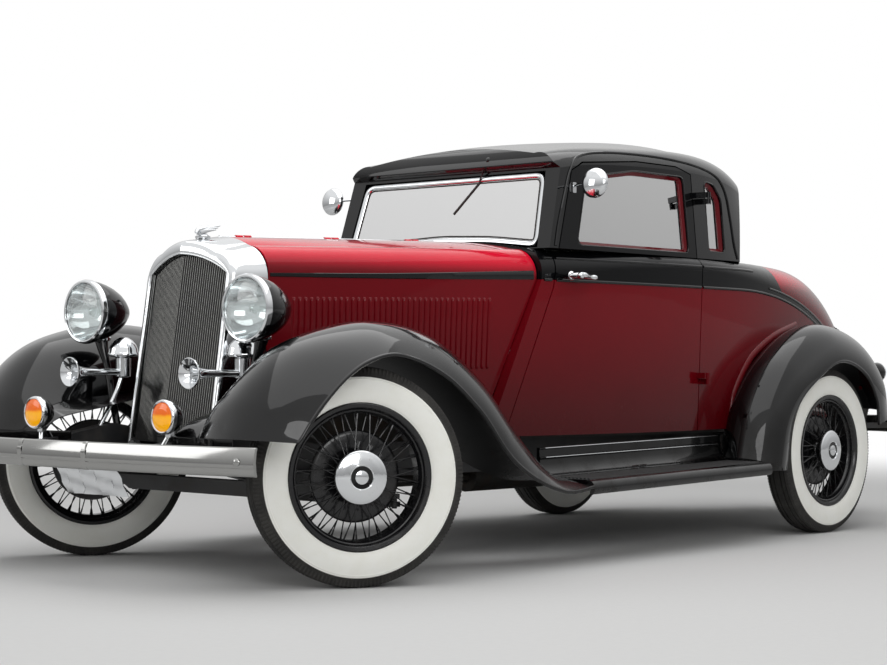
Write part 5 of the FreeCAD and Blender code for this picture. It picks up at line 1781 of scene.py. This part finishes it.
@dataclass
class Bench:
    """Padded seat cushion and back in cloth, swollen by a short simulation."""

    seams: int = 9
    swell: float = 0.014
    groove: float = 0.010
    frames: int = 20

    def stuffed(self, form: Form, name: str) -> bpy.types.Mesh:
        """Pad of a smaller block: remeshed, blown up by Cloth, and capped in movement."""
        pad = linked(name, form.mesh(name, bevel=0.030, crease=30))
        grid = pad.modifiers.new("grid", "REMESH")
        grid.mode = "VOXEL"
        grid.voxel_size = 0.011
        graph = bpy.context.evaluated_depsgraph_get()
        fine = bpy.data.meshes.new_from_object(pad.evaluated_get(graph))
        bpy.data.objects.remove(pad)
        rest = [v.co.copy() for v in fine.vertices]
        bag = linked(name, fine)
        cloth = bag.modifiers.new("cloth", "CLOTH")
        cloth.settings.use_pressure = True
        cloth.settings.uniform_pressure_force = 4.0
        cloth.settings.effector_weights.gravity = 0.0
        cloth.settings.quality = 4
        for number in range(1, self.frames + 1):
            bpy.context.scene.frame_set(number)
        graph = bpy.context.evaluated_depsgraph_get()
        blown = bpy.data.meshes.new_from_object(bag.evaluated_get(graph))
        bpy.data.objects.remove(bag)
        bpy.context.scene.frame_set(1)
        for vertex, start in zip(blown.vertices, rest):
            move = vertex.co - start
            if move.length > self.swell:
                vertex.co = start + move.normalized() * self.swell
        return blown

    def sewn(self, data: bpy.types.Mesh, span: float) -> None:
        """Press upright channels into the pad."""
        pitch = 2 * span / self.seams
        data.update()
        normals = [v.normal.copy() for v in data.vertices]
        for vertex, normal in zip(data.vertices, normals):
            off = abs(math.remainder(vertex.co.x + span, pitch))
            if abs(vertex.co.x) < span - 0.02:
                vertex.co -= normal * self.groove * math.exp(-(off / 0.010) ** 2)

    def finish(self, data: bpy.types.Mesh, name: str, node: str) -> None:
        data.shade_smooth()
        pad = linked(name, data)
        data.materials.clear()
        data.materials.append(Shop.CLOTH.material())
        soft = pad.modifiers.new("soft", "SUBSURF")
        soft.levels = soft.render_levels = 1
        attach(pad, "car")
        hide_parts(node)
        log.info("%s: %d faces", name, len(data.polygons))

    def build(self) -> None:
        """Make both pads."""
        cushion = Form().loft([[car(x, y, z) for x, y in ((-0.520, 0.370), (0.520, 0.370),
                                                          (0.520, 0.790), (-0.520, 0.790))]
                               for z in (0.664, 0.782)])
        outline = mm(812, 672, 890, 672, 990, 1248, 890, 1248)
        back = Form().loft([[car(x, y, z) for y, z in outline] for x in (-0.495, 0.495)])
        for form, part, span in ((cushion, "cushion", 0.520), (back, "back", 0.495)):
            pad = self.stuffed(form, f"pad_{part}")
            self.sewn(pad, span)
            self.finish(pad, f"bench_{part}", f"seat_{part}")


@dataclass
class Cockpit:
    """Steering wheel, gauges and levers."""

    top: Triple = (0.270, 0.120, 1.015)
    axis: Triple = (0.0, 0.8262, 0.5633)
    radius: float = 0.200

    def wheel(self) -> None:
        """Ribbed rim, three steel spokes, hub and plain button."""
        axis = Vector(self.axis)
        centre = car(*self.top) + axis * 0.030
        place = turn_to(centre, axis)
        rim = [polar(0, self.radius, math.tau * i / 144) for i in range(144)]
        sizes = [0.0105 + 0.0008 * math.cos(36 * math.tau * i / 144) for i in range(144)]
        form = Form().tube(rim, sizes, 14, loop=True)
        for degrees in (90, 210, 330):
            way = polar(0, 1, math.radians(degrees))
            side = Vector((0, -way.z, way.y))
            for off in (-0.010, 0.010):
                path = [Vector((-0.014, 0, 0)) + way * 0.02 + side * off,
                        Vector((-0.009, 0, 0)) + way * 0.10 + side * off,
                        way * (self.radius - 0.004) + side * off]
                form.tube(eased(path, 4), 0.0040, 10, 1)
        hub = mm(-36, 0, -36, 26, -26, 32, -10, 34, 0, 32, 5, 26, 8, 18, 10, 0)
        form.revolve(hub, 48)
        Form().join(form, place).fine("steering_wheel", Shop.BAKELITE, Shop.STEEL,
                                      body="steering_wheel", crease=45, slot="plastic")

    def gauges(self) -> None:
        """Dial panel in the middle of the dash with plain faces."""
        normal = Vector((0, 1, -0.176)).normalized()
        form = Form()
        for x, z, size in ((0.0, 1.060, 0.052), (-0.112, 1.060, 0.034), (0.112, 1.060, 0.034)):
            spot = car(x, -0.150 + (z - 0.960) * 0.1765, z)
            ring = [(0.0, size), (0.004, size + 0.003), (0.008, size), (0.009, size - 0.006),
                    (0.003, size - 0.008)]
            place = turn_to(spot, normal)
            form.turned(ring, 48, place)
            form.turned([(0.003, size - 0.007), (0.0028, 0.0)], 48, place, 1)
            needle = Form().loft([[(0.0036, -half, z), (0.0036, half, z), (0.0042, half, z),
                                   (0.0042, -half, z)]
                                  for half, z in ((0.0012, -0.004), (0.0002, size * 0.75))], 2)
            form.join(needle, place @ Matrix.Rotation(0.9 + x * 6, 4, "X"))
        form.piece("gauges", Shop.CHROME, Shop.BAKELITE, Shop.WHITEWALL, crease=45)

    def levers(self) -> None:
        """Gear lever, hand brake and pedals."""
        form = Form()
        gear = run(5, (0, -0.120, 0.500), (0, -0.105, 0.620), (0, -0.040, 0.760),
                   (0, 0.030, 0.872))
        form.tube(gear, 0.0075, 12)
        knob = mm(-18, 0, -16, 10, 0, 20, 14, 16, 20, 0)
        form.turned(knob, 24, turn_to(gear[-1], Vector((0, 0.5, 1))), 1)
        form.tube(run(5, (-0.110, -0.200, 0.500), (-0.110, -0.150, 0.700),
                      (-0.110, -0.120, 0.780)), 0.007, 12)
        for x in (0.190, 0.320, 0.120):
            form.tube([car(x, -0.330, 0.520), car(x, -0.270, 0.640)], 0.008, 10)
            pad = rounded(box(0.030, 0.024), 0.010)
            form.loft([[car(x + a, -0.262 + b * 0.55 + d, 0.645 + b) for a, b in pad]
                       for d in (0.0, 0.010)], 1)
        form.piece("levers", Shop.STEEL, Shop.BAKELITE, crease=45)

    def build(self) -> None:
        """Make the driver's place."""
        self.wheel()
        self.gauges()
        self.levers()


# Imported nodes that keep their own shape


NODE_FINISH: dict[str, Finish] = {node: finish for finish, nodes in (
    (Shop.MAROON_BODY, ("body", "deck_lid")),
    (Shop.MAROON_DOOR, ("door_left", "door_right", "hinges")),
    (Shop.MAROON, ("hood_left", "hood_right")),
    (Shop.BLACK, ("roof", "firewall", "steering_column")),
    (Shop.PANE, ("door_glass_left", "door_glass_right", "window_glass")),
    (Shop.SHIELD, ("windshield_glass",)), (Shop.CORE, ("radiator",)),
    (Shop.CAST, ("engine", "exhaust")), (Shop.CARPET, ("floor",)),
    (Shop.LINING, ("bulkhead",)), (Shop.WOODGRAIN, ("dash",))) for node in nodes}


def dress_nodes() -> None:
    """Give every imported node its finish, or else chassis paint."""
    for name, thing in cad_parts.items():
        thing.data.materials.clear()
        thing.data.materials.append(NODE_FINISH.get(name, Shop.CHASSIS).material())


# Light, floor and camera


@dataclass
class Studio:
    """Pale floor, soft light and the photograph's viewpoint."""

    eye: Triple = (5.028, -6.148, 0.7202)
    yaw: float = 41.53
    pitch: float = 0.92
    roll: float = 0.34
    lens: float = 77.99

    def camera(self) -> None:
        """Camera at the photograph's place."""
        data = bpy.data.cameras.new("view")
        data.lens, data.sensor_width = self.lens, 36.0
        data.clip_start, data.clip_end = 0.1, 200.0
        eye = linked("view", data)
        yaw, pitch, roll = (math.radians(a) for a in (self.yaw, self.pitch, self.roll))
        ahead = Vector((-math.sin(yaw) * math.cos(pitch), math.cos(yaw) * math.cos(pitch),
                        math.sin(pitch)))
        right = Vector((math.cos(yaw), math.sin(yaw), 0))
        up = right.cross(ahead)
        side = right * math.cos(roll) + up * math.sin(roll)
        top = up * math.cos(roll) - right * math.sin(roll)
        turn = Matrix((side, top, -ahead)).transposed().to_4x4()
        eye.matrix_world = Matrix.Translation(self.eye) @ turn
        bpy.context.scene.camera = eye

    def floor(self) -> None:
        """Wide floor sheet."""
        data = bpy.data.meshes.new("floor_sheet")
        data.from_pydata([(x, y, 0) for x, y in box(60.0, 60.0)], [], [(0, 1, 2, 3)])
        data.materials.append(Floor("studio_floor").material())
        linked("floor_sheet", data)

    def lights(self) -> None:
        """Large overhead softbox and two side boxes, as (name, place, aim, size, watts)."""
        for name, place, aim, size, power in (
                ("over", (0.5, -0.5, 5.5), (0, 0, 0.6), (7.0, 9.0), 230.0),
                ("near", (7.5, -6.0, 3.6), (0, -0.3, 0.8), (5.0, 3.0), 175.0),
                ("nose", (-4.5, -7.5, 3.2), (0, -1.0, 0.8), (4.0, 3.0), 80.0)):
            data = bpy.data.lights.new(name, "AREA")
            data.shape = "RECTANGLE"
            data.size, data.size_y = size
            data.energy = power
            lamp = linked(name, data)
            lamp.location = place
            way = Vector(aim) - Vector(place)
            lamp.rotation_euler = way.to_track_quat("-Z", "Y").to_euler()

    def world(self) -> None:
        """Pale surroundings, white to the camera and through glass; to gloss white overhead and
        dimmer towards the horizon.
        """
        graph = Graph(bpy.data.worlds.new("surroundings"))
        seen, glossy, through = graph.rays()
        place = graph.node("ShaderNodeNewGeometry", out="Position")
        height = graph.node("ShaderNodeSeparateXYZ", values={0: place}, out="Z")
        sky = graph.node("ShaderNodeMapRange", values={0: height, 2: 0.50, 3: SHADE})
        level = graph.node("ShaderNodeMapRange", values={0: seen.least(through), 3: SHADE})
        glow = graph.node("ShaderNodeBackground", values={
            0: (1.0, 1.0, 1.0, 1.0), 1: level.least(glossy * sky)})
        bpy.context.scene.world = graph.close(glow, "World")

    def build(self) -> None:
        """Set up the whole studio."""
        self.camera()
        self.floor()
        self.lights()
        self.world()
        bpy.context.scene.view_settings.view_transform = "Standard"


def main() -> None:
    """Build every sub-assembly in order."""
    Studio().build()
    dress_nodes()
    repeats = Repeats()
    RunningGear().build(repeats)
    Wings().build()
    Radiator().build(repeats)
    Lamps().build()
    Bumper("bumper_front", middle_y=-2.125, end_y=-2.026, half=0.850, z=0.423, height=0.044,
           facing=-1, clamp=0.166).build(
        [(0.312, -2.100, 0.423), (0.306, -2.040, 0.423), (0.303, -1.975, 0.423)])
    Bumper("bumper_rear", middle_y=2.620, end_y=2.560, half=0.800, z=0.440, height=0.040,
           facing=1, clamp=0.400).build(
        [(0.379, 2.335, 0.432), (0.410, 2.470, 0.432), (0.448, 2.596, 0.432)])
    Plate().build()
    Hood().build(repeats)
    Cab().build()
    Mascot().build()
    Tail().build()
    Bench().build()
    Cockpit().build()


if __name__ == "__main__":
    main()
